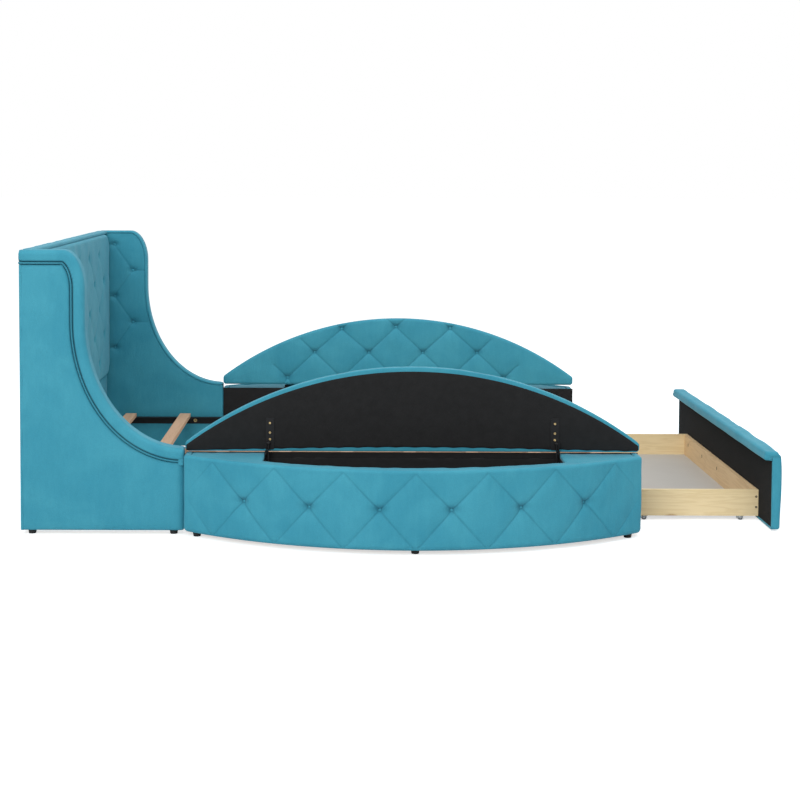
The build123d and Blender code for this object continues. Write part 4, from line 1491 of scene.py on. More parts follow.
@dataclass
class Wings:
    """Both wings: tufted inside, plain outside, a padded band round the edge and piping."""

    front: float = 0.225
    reach: float = 0.5638
    end_height: float = 0.301
    sweep_high: float = 0.435
    shoulder_depth: float = 0.076
    shoulder_drop: float = 0.134
    top: float = 0.984
    inner_face: float = 0.772
    inner_edge: float = 0.004
    inner_inset: float = 0.0041
    inner_thick: float = 0.018
    inner_pitch: float = 0.0032
    inner_ripple: Ripple = Ripple(0.0007, 0.12, 31)
    frame_in: float = 0.790
    frame_out: float = 0.815
    outer_face: float = 0.832
    outer_edge: float = 0.007
    outer_thick: float = 0.017
    outer_pitch: float = 0.0055
    outer_ripple: Ripple = Ripple(0.0007, 0.20, 33)
    end_round: float = 0.012
    end_reach: float = 0.009
    band_out: float = 0.837
    band_width: float = 0.040
    band_lip: float = 0.010
    band_round: float = 0.018
    band_hem: float = 0.007
    band_pitch: float = 0.0035
    band_ripple: Ripple = Ripple(0.0006, 0.09, 21)
    gather_run: float = 0.06
    gather_reach: float = 0.075
    gather_pitch: float = 0.017
    gather_depth: float = 0.0022
    flange: float = 0.016
    flange_thick: float = 0.006
    piping_radius: float = 0.0032
    piping_gap: float = 0.0024
    piping_sink: float = 0.0015
    piping_shade: float = 0.30
    piping_sides: int = 10
    strip_edge: float = 0.002
    strip_thick: float = 0.0098
    strip_pitch: float = 0.004
    headboard_front: float = 0.0323
    tuft_front: float = 0.078
    tuft_back: float = 0.160
    first_row: float = 0.923

    @property
    def panel_inset(self) -> float:
        """How far the plain panel stays inside the wing's edge."""
        return self.band_width + 2 * self.piping_gap + 2 * self.piping_radius

    def edge_line(self) -> Array:
        """The edge of a wing, from the back over the shoulder and down the sweep to the foot end.

        Returns:
            Its points, as X and Z.
        """
        shoulder_x, shoulder_z = self.front - self.shoulder_depth, self.top - self.shoulder_drop
        sweep = self.reach - self.front
        centre = (self.reach, self.end_height + self.sweep_high)
        points = [(0.0, self.top)]
        for angle in np.radians(np.linspace(90, 0, 40)):
            along, rise = self.shoulder_depth * math.cos(angle), self.shoulder_drop * math.sin(angle)
            points.append((shoulder_x + along, shoulder_z + rise))
        for angle in np.radians(np.linspace(180, 270, 60)):
            along, rise = sweep * math.cos(angle), self.sweep_high * math.sin(angle)
            points.append((centre[0] + along, centre[1] + rise))
        return even_line(np.array(points), 0.005)

    def inset_line(self, inset: float) -> Array:
        """The edge moved inward."""
        line = self.edge_line()
        return line - line_normals(line) * inset

    def outline(self, inset: float, back: float, end_inset: float, low: float) -> Array:
        """A closed outline inside the edge.

        Args:
            inset: How far it stays inside the edge.
            back: X of its straight back.
            end_inset: How far it stays inside the foot end.
            low: Z of its straight bottom.

        Returns:
            The outline's points, as X and Z.
        """
        line = self.inset_line(inset)
        line = line[(line[:, 0] > back) & (line[:, 0] < self.reach - end_inset)]
        last = (self.reach - end_inset, line[-1][1])
        return np.array([(back, line[0][1]), *line, last, (self.reach - end_inset, low), (back, low)])

    def buttons(self) -> list[Point]:
        """Button places on the inside, in two staggered columns.

        Returns:
            The places, as X and Z, from the top.
        """
        count = math.floor((self.first_row - self.end_height) / TUFT_RISE)
        columns = (self.tuft_front, self.tuft_back)
        return [(columns[row % 2], self.first_row - row * TUFT_RISE) for row in range(count)]

    def tufting(self) -> Tufting:
        """The buttons and pleats of the inside.

        Returns:
            The tufting, in X and Z.
        """
        places = self.buttons()
        lines = list(zip(places, places[1:]))
        lines += [(place, (self.front, place[1])) for place in places[1::2]]
        lines += [(place, (self.headboard_front, place[1])) for place in places[0::2]]
        return Tufting(
            places,
            lines,
            pinch=0.0070,
            hollow=0.0025,
            crease=0.0022,
            swell=0.0014,
            shade=0.22,
            lee_shade=0.25,
        )

    def upright(self, line: Array, y: float) -> tuple[Array, Array]:
        """A line of X and Z as a path for a roll.

        Args:
            line: Its points.
            y: Y of the path.

        Returns:
            The path and its outward directions.
        """
        normals = line_normals(line)
        path = np.stack([line[:, 0], np.full(len(line), y), line[:, 1]], axis=1)
        return path, np.stack([normals[:, 0], np.zeros(len(line)), normals[:, 1]], axis=1)

    def band(self) -> bmesh.types.BMesh:
        """The padded band that turns over both faces.

        Returns:
            Its mesh.
        """
        path, outward = self.upright(self.edge_line(), 0.0)
        inset, flange_face = -self.band_width, self.frame_out + self.flange_thick
        corners = [
            (0, self.band_out, self.band_round),
            (inset, self.band_out, self.band_hem),
            (inset, flange_face, 0),
            (inset - self.flange, flange_face, 0),
            (inset - self.flange, self.frame_out, 0),
            (-self.band_lip, self.frame_out, 0),
            (-self.band_lip, self.inner_face, 0.001),
            (0, self.inner_face, self.band_hem),
        ]
        shoulder = self.front - self.shoulder_depth + self.gather_run
        total = float(np.sum(np.linalg.norm(np.diff(path, axis=0), axis=1)))

        def relief(run: Array, inset: Array, y: Array) -> Array:
            """A crowned outside, with gathers where the band turns the shoulder.

            Args:
                run: How far along the band each point lies.
                inset: How far it stands out from the wing's edge.
                y: How far it lies from the middle of the bed.

            Returns:
                How far each is drawn in.
            """
            outside = np.clip((y - self.outer_face) / 0.005, 0, 1)
            seam = np.exp(-(inset + self.band_width) / 0.009) * outside
            turn = np.exp(-(((run - shoulder - self.gather_run) / self.gather_reach) ** 2))
            gather = turn * np.sin(run * math.tau / self.gather_pitch)
            ends = 0.008 * np.exp(-run / 0.006) + 0.006 * np.exp(-(total - run) / 0.005)
            crown = self.gather_depth * seam + gather * seam * self.gather_depth
            return crown + self.band_ripple.at(run, inset + y) * outside + ends

        def fold(run: Array, inset: Array, y: Array) -> Array:
            """Painted shade: darker towards the seam, and dark over the flange under the piping."""
            return 0.75 * np.clip(-(inset + self.band_width) / 0.004 + 1.0, 0.0, 1.0)

        section = soft_loop(corners, self.band_pitch)
        return Roll(path, outward, repeated(SIDEWAYS, path), section, relief, fold=fold).shape()

    def band_end(self) -> bmesh.types.BMesh:
        """The cloth sewn over the end of the seam, in front of the cord's end.

        Returns:
            Its mesh.
        """
        high = self.end_height - self.band_width + 0.004
        low = high - 2 * (self.piping_gap + self.piping_radius) - 0.009
        loop = rectangle((self.reach - 0.0165, low), (self.reach - 0.0045, high))
        patch = Cover([loop], Turnover(0.003, 0.010), pitch=0.002, crown=0.0006, crown_reach=0.004)
        return patch.shape(frame_matrix((0, self.outer_face + 0.0018, 0), FOOTWARD, UP, SIDEWAYS))

    def piping(self) -> bmesh.types.BMesh:
        """The cord sewn between the band and the outer panel.

        Returns:
            Its mesh.
        """
        line = self.inset_line(self.band_width + self.piping_gap + self.piping_radius)
        line = line[line[:, 0] <= self.reach]
        path, outward = self.upright(line, self.outer_face - self.piping_sink)
        turns = np.radians(np.linspace(0, 360, self.piping_sides, endpoint=False))
        section = self.piping_radius * np.stack([np.cos(turns), np.sin(turns)], axis=1)

        def fold(run: Array, out: Array, y: Array) -> Array:
            """Painted shade all round, as the cord lies deep in the seam."""
            return np.full(len(run), self.piping_shade)

        return Roll(path, outward, repeated(SIDEWAYS, path), section, fold=fold).shape()

    def end_drop(self, where: Array) -> Array:
        """How the plain panel rounds off at the foot end of the wing."""
        return -self.end_round * np.exp(-(self.reach - where[:, 0]) / self.end_reach)

    def inside(self, tufting: Tufting) -> bmesh.types.BMesh:
        """The tufted inner pad.

        Args:
            tufting: Its buttons and pleats.

        Returns:
            Its mesh.
        """
        edge = self.inner_edge
        inset = self.band_lip + self.inner_inset
        loop = self.outline(inset, self.headboard_front + edge, edge, SKIRT + edge)
        turned = Turnover(edge, self.inner_thick)
        pad = Cover([loop], turned, self.inner_pitch, tufting, self.inner_ripple, crown=0.002)
        return pad.shape(frame_matrix((0, self.inner_face, 0), FOOTWARD, UP, INWARD))

    def outside(self) -> bmesh.types.BMesh:
        """The plain outer panel.

        Returns:
            Its mesh.
        """
        edge = self.outer_edge
        panel = Cover(
            [self.outline(self.panel_inset + edge, edge, edge, SKIRT + edge)],
            Turnover(edge, self.outer_thick),
            self.outer_pitch,
            ripple=self.outer_ripple,
            crown=0.0025,
            crown_reach=0.012,
            bulge=self.end_drop,
        )
        return panel.shape(frame_matrix((0, self.outer_face, 0), FOOTWARD, UP, SIDEWAYS))

    def back_strip(self) -> bmesh.types.BMesh:
        """The strip that covers the frame's back edge, stepped in under the band.

        Returns:
            Its mesh.
        """
        edge = self.strip_edge
        near, far, low = self.frame_in + edge, self.outer_face - 0.004, SKIRT + edge
        high, step = self.top - self.panel_inset - edge, self.frame_out - 0.0015
        peak = self.top - self.band_lip - 0.003
        corners = [(near, low), (far, low), (far, high), (step, high), (step, peak), (near, peak)]
        turned = Turnover(edge, self.strip_thick)
        strip = Cover([np.array(corners)], turned, self.strip_pitch, crown=0.0008)
        return strip.shape(frame_matrix((0, 0, 0), SIDEWAYS, UP, HEADWARD))

    def dress(self, shop: Workshop) -> None:
        """Make both wings' cloth.

        Args:
            shop: Where the pieces are made.
        """
        tufting = self.tufting()
        deep = self.inner_face + tufting.button_depth()
        dots = join(covered_button((x, deep, z), INWARD) for x, z in tufting.buttons)
        shop.pair(self.inside(tufting), "wing_tufted_inside", TEAL, "wing_inner_pad_{}")
        shop.pair(self.outside(), "wing_plain_outside", TEAL, "wing_outer_panels")
        shop.pair(self.back_strip(), "wing_back_strip", TEAL, "wing_outer_panels")
        shop.pair(self.band(), "wing_padded_band", TEAL, "wing_edge_band_{}")
        shop.pair(self.band_end(), "wing_band_end_patch", TEAL, "wing_edge_band_{}")
        shop.pair(self.piping(), "wing_cord_piping", TEAL, "wing_piping")
        shop.pair(dots, "wing_covered_buttons", TEAL, "wing_buttons")


@dataclass
class StorageBoxes:
    """The bowed, tufted fronts of the side boxes, their decks and their linings."""

    start: float = 0.564
    length: float = 1.574
    top: float = 0.281
    end_depth: float = 0.076
    crown_depth: float = 0.338
    pad_thick: float = 0.024
    pad_skin: float = 0.001
    top_round: float = 0.011
    hem_round: float = 0.017
    end_round: float = 0.020
    end_gap: float = 0.002
    end_pitch: float = 0.005
    end_plain: float = 0.06
    end_fade: float = 0.15
    swell: float = 0.0008
    deck_thick: float = 0.015
    deck_drop: float = 0.0020
    deck_edge: float = 0.004
    ledge: float = 0.046
    wall_strip: float = 0.0175
    wall_board: float = 0.0145
    cell_half: float = 0.510
    button_height: float = 0.148
    pleat_high: float = 0.271
    board: float = 0.012
    lining: float = 0.0015
    cloth: float = 0.0014
    gap: float = 0.0005
    pitch: float = 0.0034
    front_ripple: Ripple = Ripple(0.0008, 0.12, 41)
    deck_ripple: Ripple = Ripple(0.0008, 0.075, 43, 0.35)
    sill_ripple: Ripple = Ripple(0.0005, 0.08, 53)
    drape: Ripple = Ripple(0.0016, 0.10, 47, 0.4)
    floor_ripple: Ripple = Ripple(0.0003, 0.12, 49)
    wall_ripple: Ripple = Ripple(0.0003, 0.07, 51)

    def __post_init__(self) -> None:
        """Work out the bow."""
        self.half = self.length / 2
        self.middle = self.start + self.half
        self.radius = bow_radius(self.half, self.crown_depth - self.end_depth)
        self.centre = WELL_HALF + self.crown_depth - self.radius

    def plan(self) -> tuple[Array, Array]:
        """The plan line round the front, from the rear of one end to the other.

        Returns:
            Its points and its outward directions.
        """
        small = self.end_round
        corner_x = self.half - small
        corner_y = self.centre + math.sqrt((self.radius - small) ** 2 - corner_x**2)
        turn = math.asin(corner_x / (self.radius - small))
        steps = int(2 * turn * self.radius / self.pitch)
        ends = np.arange(WELL_HALF + self.end_gap, corner_y, self.end_pitch)
        arcs = (
            (-corner_x, corner_y, small, np.linspace(-math.pi / 2, -turn, 7)),
            (0.0, self.centre, self.radius, np.linspace(-turn, turn, steps)[1:-1]),
            (corner_x, corner_y, small, np.linspace(turn, math.pi / 2, 7)),
        )
        points, normals = [(-self.half, y) for y in ends], [(-1.0, 0.0)] * len(ends)
        for x, y, radius, angles in arcs:
            away = [(math.sin(angle), math.cos(angle)) for angle in angles]
            points += [(x + radius * across, y + radius * out) for across, out in away]
            normals += away
        points += [(self.half, y) for y in ends[::-1]]
        normals += [(1.0, 0.0)] * len(ends)
        return np.array(points) + (self.middle, 0.0), np.array(normals)

    def places(self) -> list[float]:
        """Distances of the buttons along the bow from its middle.

        Returns:
            The distances, in order.
        """
        count = math.floor(self.radius * math.asin(self.half / self.radius) / TUFT_PITCH)
        ahead = [(step + 0.5) * TUFT_PITCH for step in range(count)]
        return sorted([-place for place in ahead] + ahead)

    def tufting(self) -> Tufting:
        """One row of buttons, with pleats up and down to the points between them.

        Returns:
            The tufting, in distance along the bow and Z.
        """
        places = self.places()
        pleats = [
            ((place, self.button_height), (place + side * TUFT_PITCH / 2, height))
            for place in (places[0] - TUFT_PITCH, *places, places[-1] + TUFT_PITCH)
            for side in (-1, 1)
            for height in (self.pleat_high, SKIRT)
        ]
        return Tufting([(place, self.button_height) for place in places], pleats)

    def front_pad(self) -> bmesh.types.BMesh:
        """The padded front with its ends.

        Returns:
            Its mesh.
        """
        plan, normals = self.plan()
        path, tufting = level(plan), self.tufting()
        middle = float(run_lengths(path)[-1]) / 2
        deep = self.pad_thick + self.pad_skin
        corners = [
            (0, SKIRT, self.hem_round),
            (0, self.top, self.top_round),
            (-deep, self.top, 0.002),
            (-deep, SKIRT, 0),
        ]

        def flat(run: Array, z: Array) -> Array:
            """Places on the front, along it from its middle."""
            return np.stack([run - middle, z], axis=1)

        def facing(run: Array, inset: Array, z: Array) -> Array:
            """Where the tufts show in full: on the bow, short of the round top edge and the hem.

            Args:
                run: How far along the front each point lies.
                inset: How far it stands out from the front, never above zero.
                z: Its height.

            Returns:
                How much they show, from 0 to 1.
            """
            above = np.clip((z - SKIRT) / 0.008, 0.15, 1.0)
            front = np.clip(1.0 + (inset + 0.002) / 0.010, 0.0, 1.0) * above
            from_end = middle - self.end_plain - np.abs(run - middle)
            return front * np.clip(from_end / self.end_fade, 0.0, 1.0)

        def slide(run: Array, inset: Array, z: Array) -> Array:
            """Move the mesh onto the pleats."""
            moved = tufting.snapped(flat(run, z), ON_PLEAT * self.pitch) - flat(run, z)
            return moved * (facing(run, inset, z) > 0.3)[:, None]

        def fold(run: Array, inset: Array, z: Array) -> Array:
            """Painted shade inside the pleats, at the buttons and above them."""
            return tufting.draw_in(flat(run, z))[1] * facing(run, inset, z)

        def relief(run: Array, inset: Array, z: Array) -> Array:
            """Tufts on the front, fading over the round top edge and the hem.

            Args:
                run: How far along the front each point lies.
                inset: How far it stands out from the front, never above zero.
                z: Its height.

            Returns:
                How far each is drawn in.
            """
            depth = tufting.draw_in(flat(run, z))[0] * facing(run, inset, z)
            uneven = self.front_ripple.at(run, z) + self.swell
            return depth + np.clip(1.0 + inset / 0.010, 0.0, 1.0) * uneven

        section = soft_loop(corners, self.pitch)
        return Roll(path, level(normals), repeated(UP, path), section, relief, slide, fold).shape()

    def deck(self) -> bmesh.types.BMesh:
        """The cloth-covered top, open at the well behind the compartment.

        Returns:
            Its mesh.
        """
        edge = self.deck_edge
        inset = self.pad_thick + self.pad_skin + edge
        rear = WELL_HALF + edge + self.lining
        outer = bow_outline(self.middle, self.half - inset, rear, self.centre, self.radius - inset)
        inner = self.radius - self.pad_thick - self.ledge + edge
        hole = bow_outline(self.middle, self.cell_half + edge, rear, self.centre, inner)
        loop = np.vstack([outer[:1], hole[:1], hole[:1:-1], hole[1:2], outer[1:]])
        turned = Turnover(edge, self.deck_thick - self.deck_drop - self.gap)
        cover = Cover([loop], turned, ripple=self.deck_ripple, crown=0.0012, crown_reach=0.012)
        return cover.shape(frame_matrix((0, 0, self.top - self.deck_drop), FOOTWARD, SIDEWAYS, UP))

    def sill(self) -> bmesh.types.BMesh:
        """The black cloth over the wall's top behind the compartment.

        Returns:
            Its mesh.
        """
        low, high = self.top - self.deck_thick - 0.006, self.top - 0.0006
        near, far = WELL_HALF + self.gap, WELL_HALF + self.wall_strip
        half = self.cell_half - self.gap
        path = even_line(np.array([(self.middle - half, 0, 0), (self.middle + half, 0, 0)]), 0.010)
        corners = [(near, low, 0), (far, low, 0), (far, high, 0.003), (near, high, 0.003)]
        return uneven_strip(path, SIDEWAYS, corners, self.sill_ripple).shape()

    def liner(self) -> bmesh.types.BMesh:
        """The black cloth inside the compartment: its walls and its floor.

        Returns:
            Its mesh.
        """
        thin, low = self.lining, SKIRT + self.board + self.lining
        high = self.top - self.deck_thick - self.gap
        rear = WELL_HALF + thin + self.wall_board + thin
        reach = self.radius - self.pad_thick - self.board - thin
        outline = bow_outline(self.middle, self.cell_half, rear, self.centre, reach)
        closed = even_line(np.vstack([outline, outline[:1]]), 0.009)[:-1]
        normals = level(loop_normals(closed))
        section = soft_loop([(0, low, 0), (0, high, 0), (thin * 0.9, high, 0), (thin * 0.9, low, 0)], 0.010)

        def relief(run: Array, out: Array, z: Array) -> Array:
            """Slack folds into the compartment."""
            return np.where(out < thin / 2, -np.abs(self.drape.at(run, z)), 0.0)

        walls = Roll(level(closed), normals, repeated(UP, closed), section, relief, looped=True)
        sheet = flat_cloth(outline, self.cloth, 0.010, self.floor_ripple)
        return join([walls.shape(), sheet.shape(frame_matrix((0, 0, low), FOOTWARD, SIDEWAYS, UP))])

    def wall_cloth(self) -> bmesh.types.BMesh:
        """The black cloth on the wall that faces the mattress.

        Returns:
            Its mesh.
        """
        low = (self.start + 0.002, SKIRT + 0.001)
        high = (self.start + self.length - 0.002, self.top - 0.0012)
        sheet = flat_cloth(rectangle(low, high), self.cloth, 0.009, self.wall_ripple)
        return sheet.shape(frame_matrix((0, WELL_HALF, 0), FOOTWARD, UP, INWARD))

    def buttons(self) -> bmesh.types.BMesh:
        """The covered buttons of one front.

        Returns:
            Their mesh.
        """
        deep = self.radius - (self.tufting().button_depth() + self.swell)
        dots = []
        for place in self.places():
            x, y = math.sin(place / self.radius), math.cos(place / self.radius)
            at = (self.middle + deep * x, self.centre + deep * y, self.button_height)
            dots.append(covered_button(at, (x, y, 0.0)))
        return join(dots)

    def dress(self, shop: Workshop) -> None:
        """Make the cloth of both boxes.

        Args:
            shop: Where the pieces are made.
        """
        shop.pair(self.front_pad(), "box_tufted_front", TEAL, "box_front_pad_{}")
        shop.pair(self.deck(), "box_top_deck", TEAL, "box_deck_{}")
        shop.pair(self.sill(), "box_sill_cloth", BLACK, "box_deck_{}")
        shop.pair(self.buttons(), "box_covered_buttons", TEAL, "box_buttons")
        shop.pair(self.liner(), "box_compartment_liner", BLACK, "box_linings")
        shop.pair(self.wall_cloth(), "box_wall_cloth", BLACK, "box_linings")


@dataclass
class Lids:
    """The D-shaped lids, made closed and then turned up about their hinge pins."""

    middle: float = 1.351
    half: float = 0.785
    rear: float = 0.804
    end_depth: float = 0.028
    crown_depth: float = 0.292
    floor: float = 0.282
    thick: float = 0.038
    edge: float = 0.013
    tuck: float = 0.024
    back_gap: float = 0.0014
    arc_steps: int = 120
    pad_pitch: float = 0.0031
    pad_ripple: Ripple = Ripple(0.0007, 0.11, 61)
    first_row: float = 0.034
    row_rise: float = 0.114
    row_count: int = 3
    row_inset: float = 0.015
    row_drift: float = -0.010
    row_steps: int = 4
    pitch: float = 0.2433
    left_reach: float = 0.005
    right_reach: float = -0.003
    left_rise: float = -0.003
    right_rise: float = 0.008
    edge_pleat: float = 0.5
    hem_run: float = 0.02
    lining_end: float = 0.003
    lining_inset: float = 0.0145
    lining_bow: float = 0.0065
    lining_hem: float = 0.002
    lining_sag: float = 0.0115
    lining_thick: float = 0.0012
    lining_drop: float = 0.0006
    lining_pitch: float = 0.005
    lining_ripple: Ripple = Ripple(0.0001, 0.13, 63)
    scallop: float = 0.0024
    staple_run: float = 0.066
    pivot: Point = (0.7965, 0.285)
    open_angle: float = 88.0

    def __post_init__(self) -> None:
        """Work out the arc."""
        self.radius = bow_radius(self.half, self.crown_depth - self.end_depth)
        self.centre = self.rear + self.crown_depth - self.radius

    def swing(self) -> Matrix:
        """The turn from closed to open about the pins.

        Returns:
            Its matrix, for the right lid.
        """
        pin = Vector((0.0, *self.pivot))
        turn = Matrix.Rotation(math.radians(self.open_angle), 4, "X")
        return Matrix.Translation(pin) @ turn @ Matrix.Translation(-pin)

    def arc_y(self, x: float) -> float:
        """Y of the arc at one distance from the middle, or of the hinged edge beyond the ends."""
        return self.rear if abs(x) >= self.half else self.centre + math.sqrt(self.radius**2 - x**2)

    def rows(self) -> list[list[Point]]:
        """Button places, row by row from the hinged edge.

        Returns:
            The rows, each with its places as the distance from the middle and Y.
        """
        rows = []
        for row in range(self.row_count):
            depth = self.first_row + row * self.row_rise
            first = 0.0 if row % 2 == 0 else self.pitch / 2
            steps = [first + step * self.pitch for step in range(self.row_steps)]
            places = []
            for x in sorted({self.row_drift + sign * step for step in steps for sign in (-1, 1)}):
                arc_depth = self.arc_y(x) - self.rear
                if abs(x) < self.half - self.pitch / 2 and arc_depth > depth:
                    places.append((x, self.rear + min(depth, arc_depth - self.row_inset)))
            rows.append(places)
        return rows

    def pleats(self, rows: Sequence[Sequence[Point]]) -> list[tuple[Point, Point]]:
        """The pleats between the buttons and out to both edges.

        Args:
            rows: Button places, row by row.

        Returns:
            Both ends of each pleat.
        """
        hem = self.rear - self.hem_run
        lines = [((x, y), (x + side * self.first_row, hem)) for x, y in rows[0] for side in (-1, 1)]
        half = self.pitch / 2
        for places, above in zip(rows, [*rows[1:], []]):
            for x, y in places:
                for side in (-1, 1):
                    goal = (x + side * half, y + self.row_rise)
                    met = [other for other in above if abs(other[0] - goal[0]) < SAME]
                    if met:
                        lines.append(((x, y), met[0]))
                    elif self.arc_y(goal[0]) < goal[1]:
                        share = self.edge_pleat
                        lines.append(((x, y), (x + side * share * half, y + share * self.row_rise)))
        return lines

    def tufting(self) -> Tufting:
        """The buttons and pleats of one lid.

        Returns:
            The tufting, in X and Y of the closed lid.
        """
        rows = self.rows()

        def moved(place: Point) -> Point:
            """A place with its X from the headboard's back."""
            return place[0] + self.middle, place[1]

        buttons = [moved(place) for row in rows for place in row]
        pleats = [(moved(start), moved(end)) for start, end in self.pleats(rows)]
        return Tufting(buttons, pleats, pinch=0.0068, hollow=0.0042)

    def stretch(self, side: Side) -> tuple[float, float]:
        """How far one lid's cloth reaches past its hinged edge and past its crest."""
        left, right = (self.left_reach, self.left_rise), (self.right_reach, self.right_rise)
        return left if side is Side.LEFT else right

    def lining_outline(self, reach: float, rise: float) -> Array:
        """The lining's edge, scalloped between its staples and bowed at the hinged edge.

        Args:
            reach: How far the cloth reaches past the hinged edge.
            rise: How far it reaches past the crest.

        Returns:
            The outline's points.
        """
        end = self.half - self.lining_end
        across = np.linspace(end, -end, 300)
        inset = self.lining_inset - self.lining_bow * (across / self.half) ** 2 - rise
        bow = self.centre + np.sqrt((self.radius - inset) ** 2 - across**2)
        corners = [(self.middle - end, self.rear), (self.middle + end, self.rear)]
        rear = even_line(np.array(corners), 0.006)
        run = rear[:, 0] - rear[0, 0]
        share = run / run[-1]
        scallop = self.scallop * np.abs(np.sin(run * math.pi / self.staple_run))
        sag = self.lining_sag * np.sin(share * math.pi) ** 1.3
        rear[:, 1] += self.lining_hem - reach + sag + scallop * np.clip(share * 6, 0, 1)
        return np.vstack([rear, np.stack([self.middle + across, bow], axis=1)])

    def dress(self, shop: Workshop) -> None:
        """Make the cloth of both lids."""
        for side in Side:
            self._dress_side(shop, side)

    def _dress_side(self, shop: Workshop, side: Side) -> None:
        """Make one lid's cloth.

        Args:
            shop: Where the pieces are made.
            side: Which lid.
        """
        turn, tufting = self.swing(), self.tufting()
        reach, rise = self.stretch(side)
        face, edge = self.floor + self.thick, self.edge
        rear, bow = self.rear - reach + edge, self.radius + rise - edge
        outline = bow_outline(self.middle, self.half - edge, rear, self.centre, bow, self.arc_steps)
        turned = Turnover(edge, self.thick, self.tuck, back=self.thick - self.back_gap)
        pad = Cover([outline], turned, self.pad_pitch, tufting, self.pad_ripple)
        cushion = pad.shape(turn @ frame_matrix((0, 0, face), FOOTWARD, SIDEWAYS, UP))
        outline = self.lining_outline(reach, rise)
        lining = flat_cloth(outline, self.lining_thick, self.lining_pitch, self.lining_ripple)
        place = frame_matrix((0, 0, self.floor - self.lining_drop), FOOTWARD, SIDEWAYS, DOWN)
        under = lining.shape(turn @ place)
        deep = face - (tufting.button_depth() + 0.0006)
        dots = join(covered_button((x, y, deep), UP) for x, y in tufting.buttons)
        bmesh.ops.transform(dots, matrix=turn, verts=dots.verts)
        parts = (
            ("lid_tufted_cushion", cushion, TEAL, "lid_pad", 0.7),
            ("lid_under_lining", under, BLACK, "lid_lining", None),
            ("lid_covered_buttons", dots, TEAL, "lid_buttons", None),
        )
        word = side.word
        for stem, mesh, finish, node, fill in parts:
            mesh = mirrored_y(mesh) if side is Side.LEFT else mesh
            shop.piece(mesh, f"{stem}_{word}", finish, f"lid_{word}", [f"{node}_{word}"])


@dataclass
class FootDrawer:
    """The padded face of the foot drawer and the roll along its top."""

    face: float = 2.645
    half: float = 0.754
    low: float = 0.006
    high: float = 0.262
    edge: float = 0.010
    tuck: float = 0.006
    top_gap: float = 0.001
    board_gap: float = 0.0005
    pitch: float = 0.006
    face_ripple: Ripple = Ripple(0.0010, 0.17, 71)
    bulge: float = 0.006
    board_x: float = 2.611
    lip_in: float = 2.582
    lip_out: float = 2.641
    lip_low: float = 0.2500
    lip_high: float = 0.286
    lip_gap: float = 0.0003
    lip_pitch: float = 0.008
    lip_sink: float = 0.0016
    lip_ripple: Ripple = Ripple(0.0022, 0.42, 73, 0.2)
    lip_grain: Ripple = Ripple(0.0003, 0.06, 75)

    def belly(self, where: Array) -> Array:
        """How far the face stands out at half its height."""
        rise = (where[:, 1] - self.low) / (self.high - self.low)
        return self.bulge * np.sin(np.clip(rise, 0, 1) ** 1.8 * math.pi)

    def padded_face(self) -> bmesh.types.BMesh:
        """The pad on the outside of the face.

        Returns:
            Its mesh.
        """
        edge = self.edge
        low, high = (-self.half + edge, self.low + edge), (self.half - edge, self.high - self.top_gap)
        pad = Cover(
            [rectangle(low, high)],
            Turnover(edge, self.face - self.board_x - self.board_gap, self.tuck),
            self.pitch,
            ripple=self.face_ripple,
            crown=0.004,
            crown_reach=0.03,
            bulge=self.belly,
        )
        return pad.shape(frame_matrix((self.face, 0, 0), SIDEWAYS, UP, FOOTWARD))

    def lip(self) -> bmesh.types.BMesh:
        """The padded roll along the top of the face.

        Returns:
            Its mesh.
        """
        path = even_line(np.array([(0, -self.half, 0), (0, self.half, 0)]), self.lip_pitch)
        board = self.board_x - self.lip_gap
        corners = [
            (self.lip_in, self.lip_low, 0.008),
            (board, self.lip_low, 0),
            (board, self.high, 0),
            (self.lip_out, self.high, 0.001),
            (self.lip_out, self.lip_high, 0.017),
            (self.lip_in, self.lip_high, 0.012),
        ]

        def relief(run: Array, x: Array, z: Array) -> Array:
            """A wavy top and rounded ends.

            Args:
                run: How far along the lip each point lies.
                x: Its place from the headboard's back.
                z: Its height.

            Returns:
                How far each is drawn in.
            """
            inward = np.clip((self.board_x - 0.004 - x) / 0.01, 0, 1)
            free = np.clip((z - self.high) / 0.012, 0, 1) + 0.25 * inward
            ends = 0.004 * np.exp(-np.minimum(run, 2 * self.half - run) / 0.006)
            wave = 0.8 * self.lip_ripple.at(run, x) + self.lip_grain.at(run, z)
            return np.clip(free, 0, 1) * (self.lip_sink + wave + ends)

        section = soft_loop(corners, 0.003)
        return Roll(path, repeated(FOOTWARD, path), repeated(UP, path), section, relief).shape()

    def dress(self, shop: Workshop) -> None:
        """Make the face pad and the lip."""
        shop.piece(self.padded_face(), "drawer_padded_face", TEAL, DRAWER, ["drawer_face_pad"])
        shop.piece(self.lip(), "drawer_padded_lip", TEAL, DRAWER, ["drawer_face_lip"])


def screw_head(at: Sequence[float], outward: Sequence[float], radius: float) -> bmesh.types.BMesh:
    """A low domed head with a round recess, its back just inside what it holds.

    Args:
        at: The middle of its back.
        outward: The direction that it faces.
        radius: Its radius.

    Returns:
        Its mesh.
    """
    bm = bmesh.new()
    bmesh.ops.create_uvsphere(bm, u_segments=20, v_segments=12, radius=radius)
    for vert in bm.verts:
        hollow = 0.55 * radius * math.exp(-((math.hypot(vert.co.x, vert.co.y) / (0.45 * radius)) ** 4))
        vert.co.z = max(vert.co.z * 0.45 - hollow * (vert.co.z > 0), -0.0004)
    turn = Vector(outward).to_track_quat("Z", "Y").to_matrix().to_4x4()
    bmesh.ops.transform(bm, matrix=Matrix.Translation(at) @ turn, verts=bm.verts)
    return bm


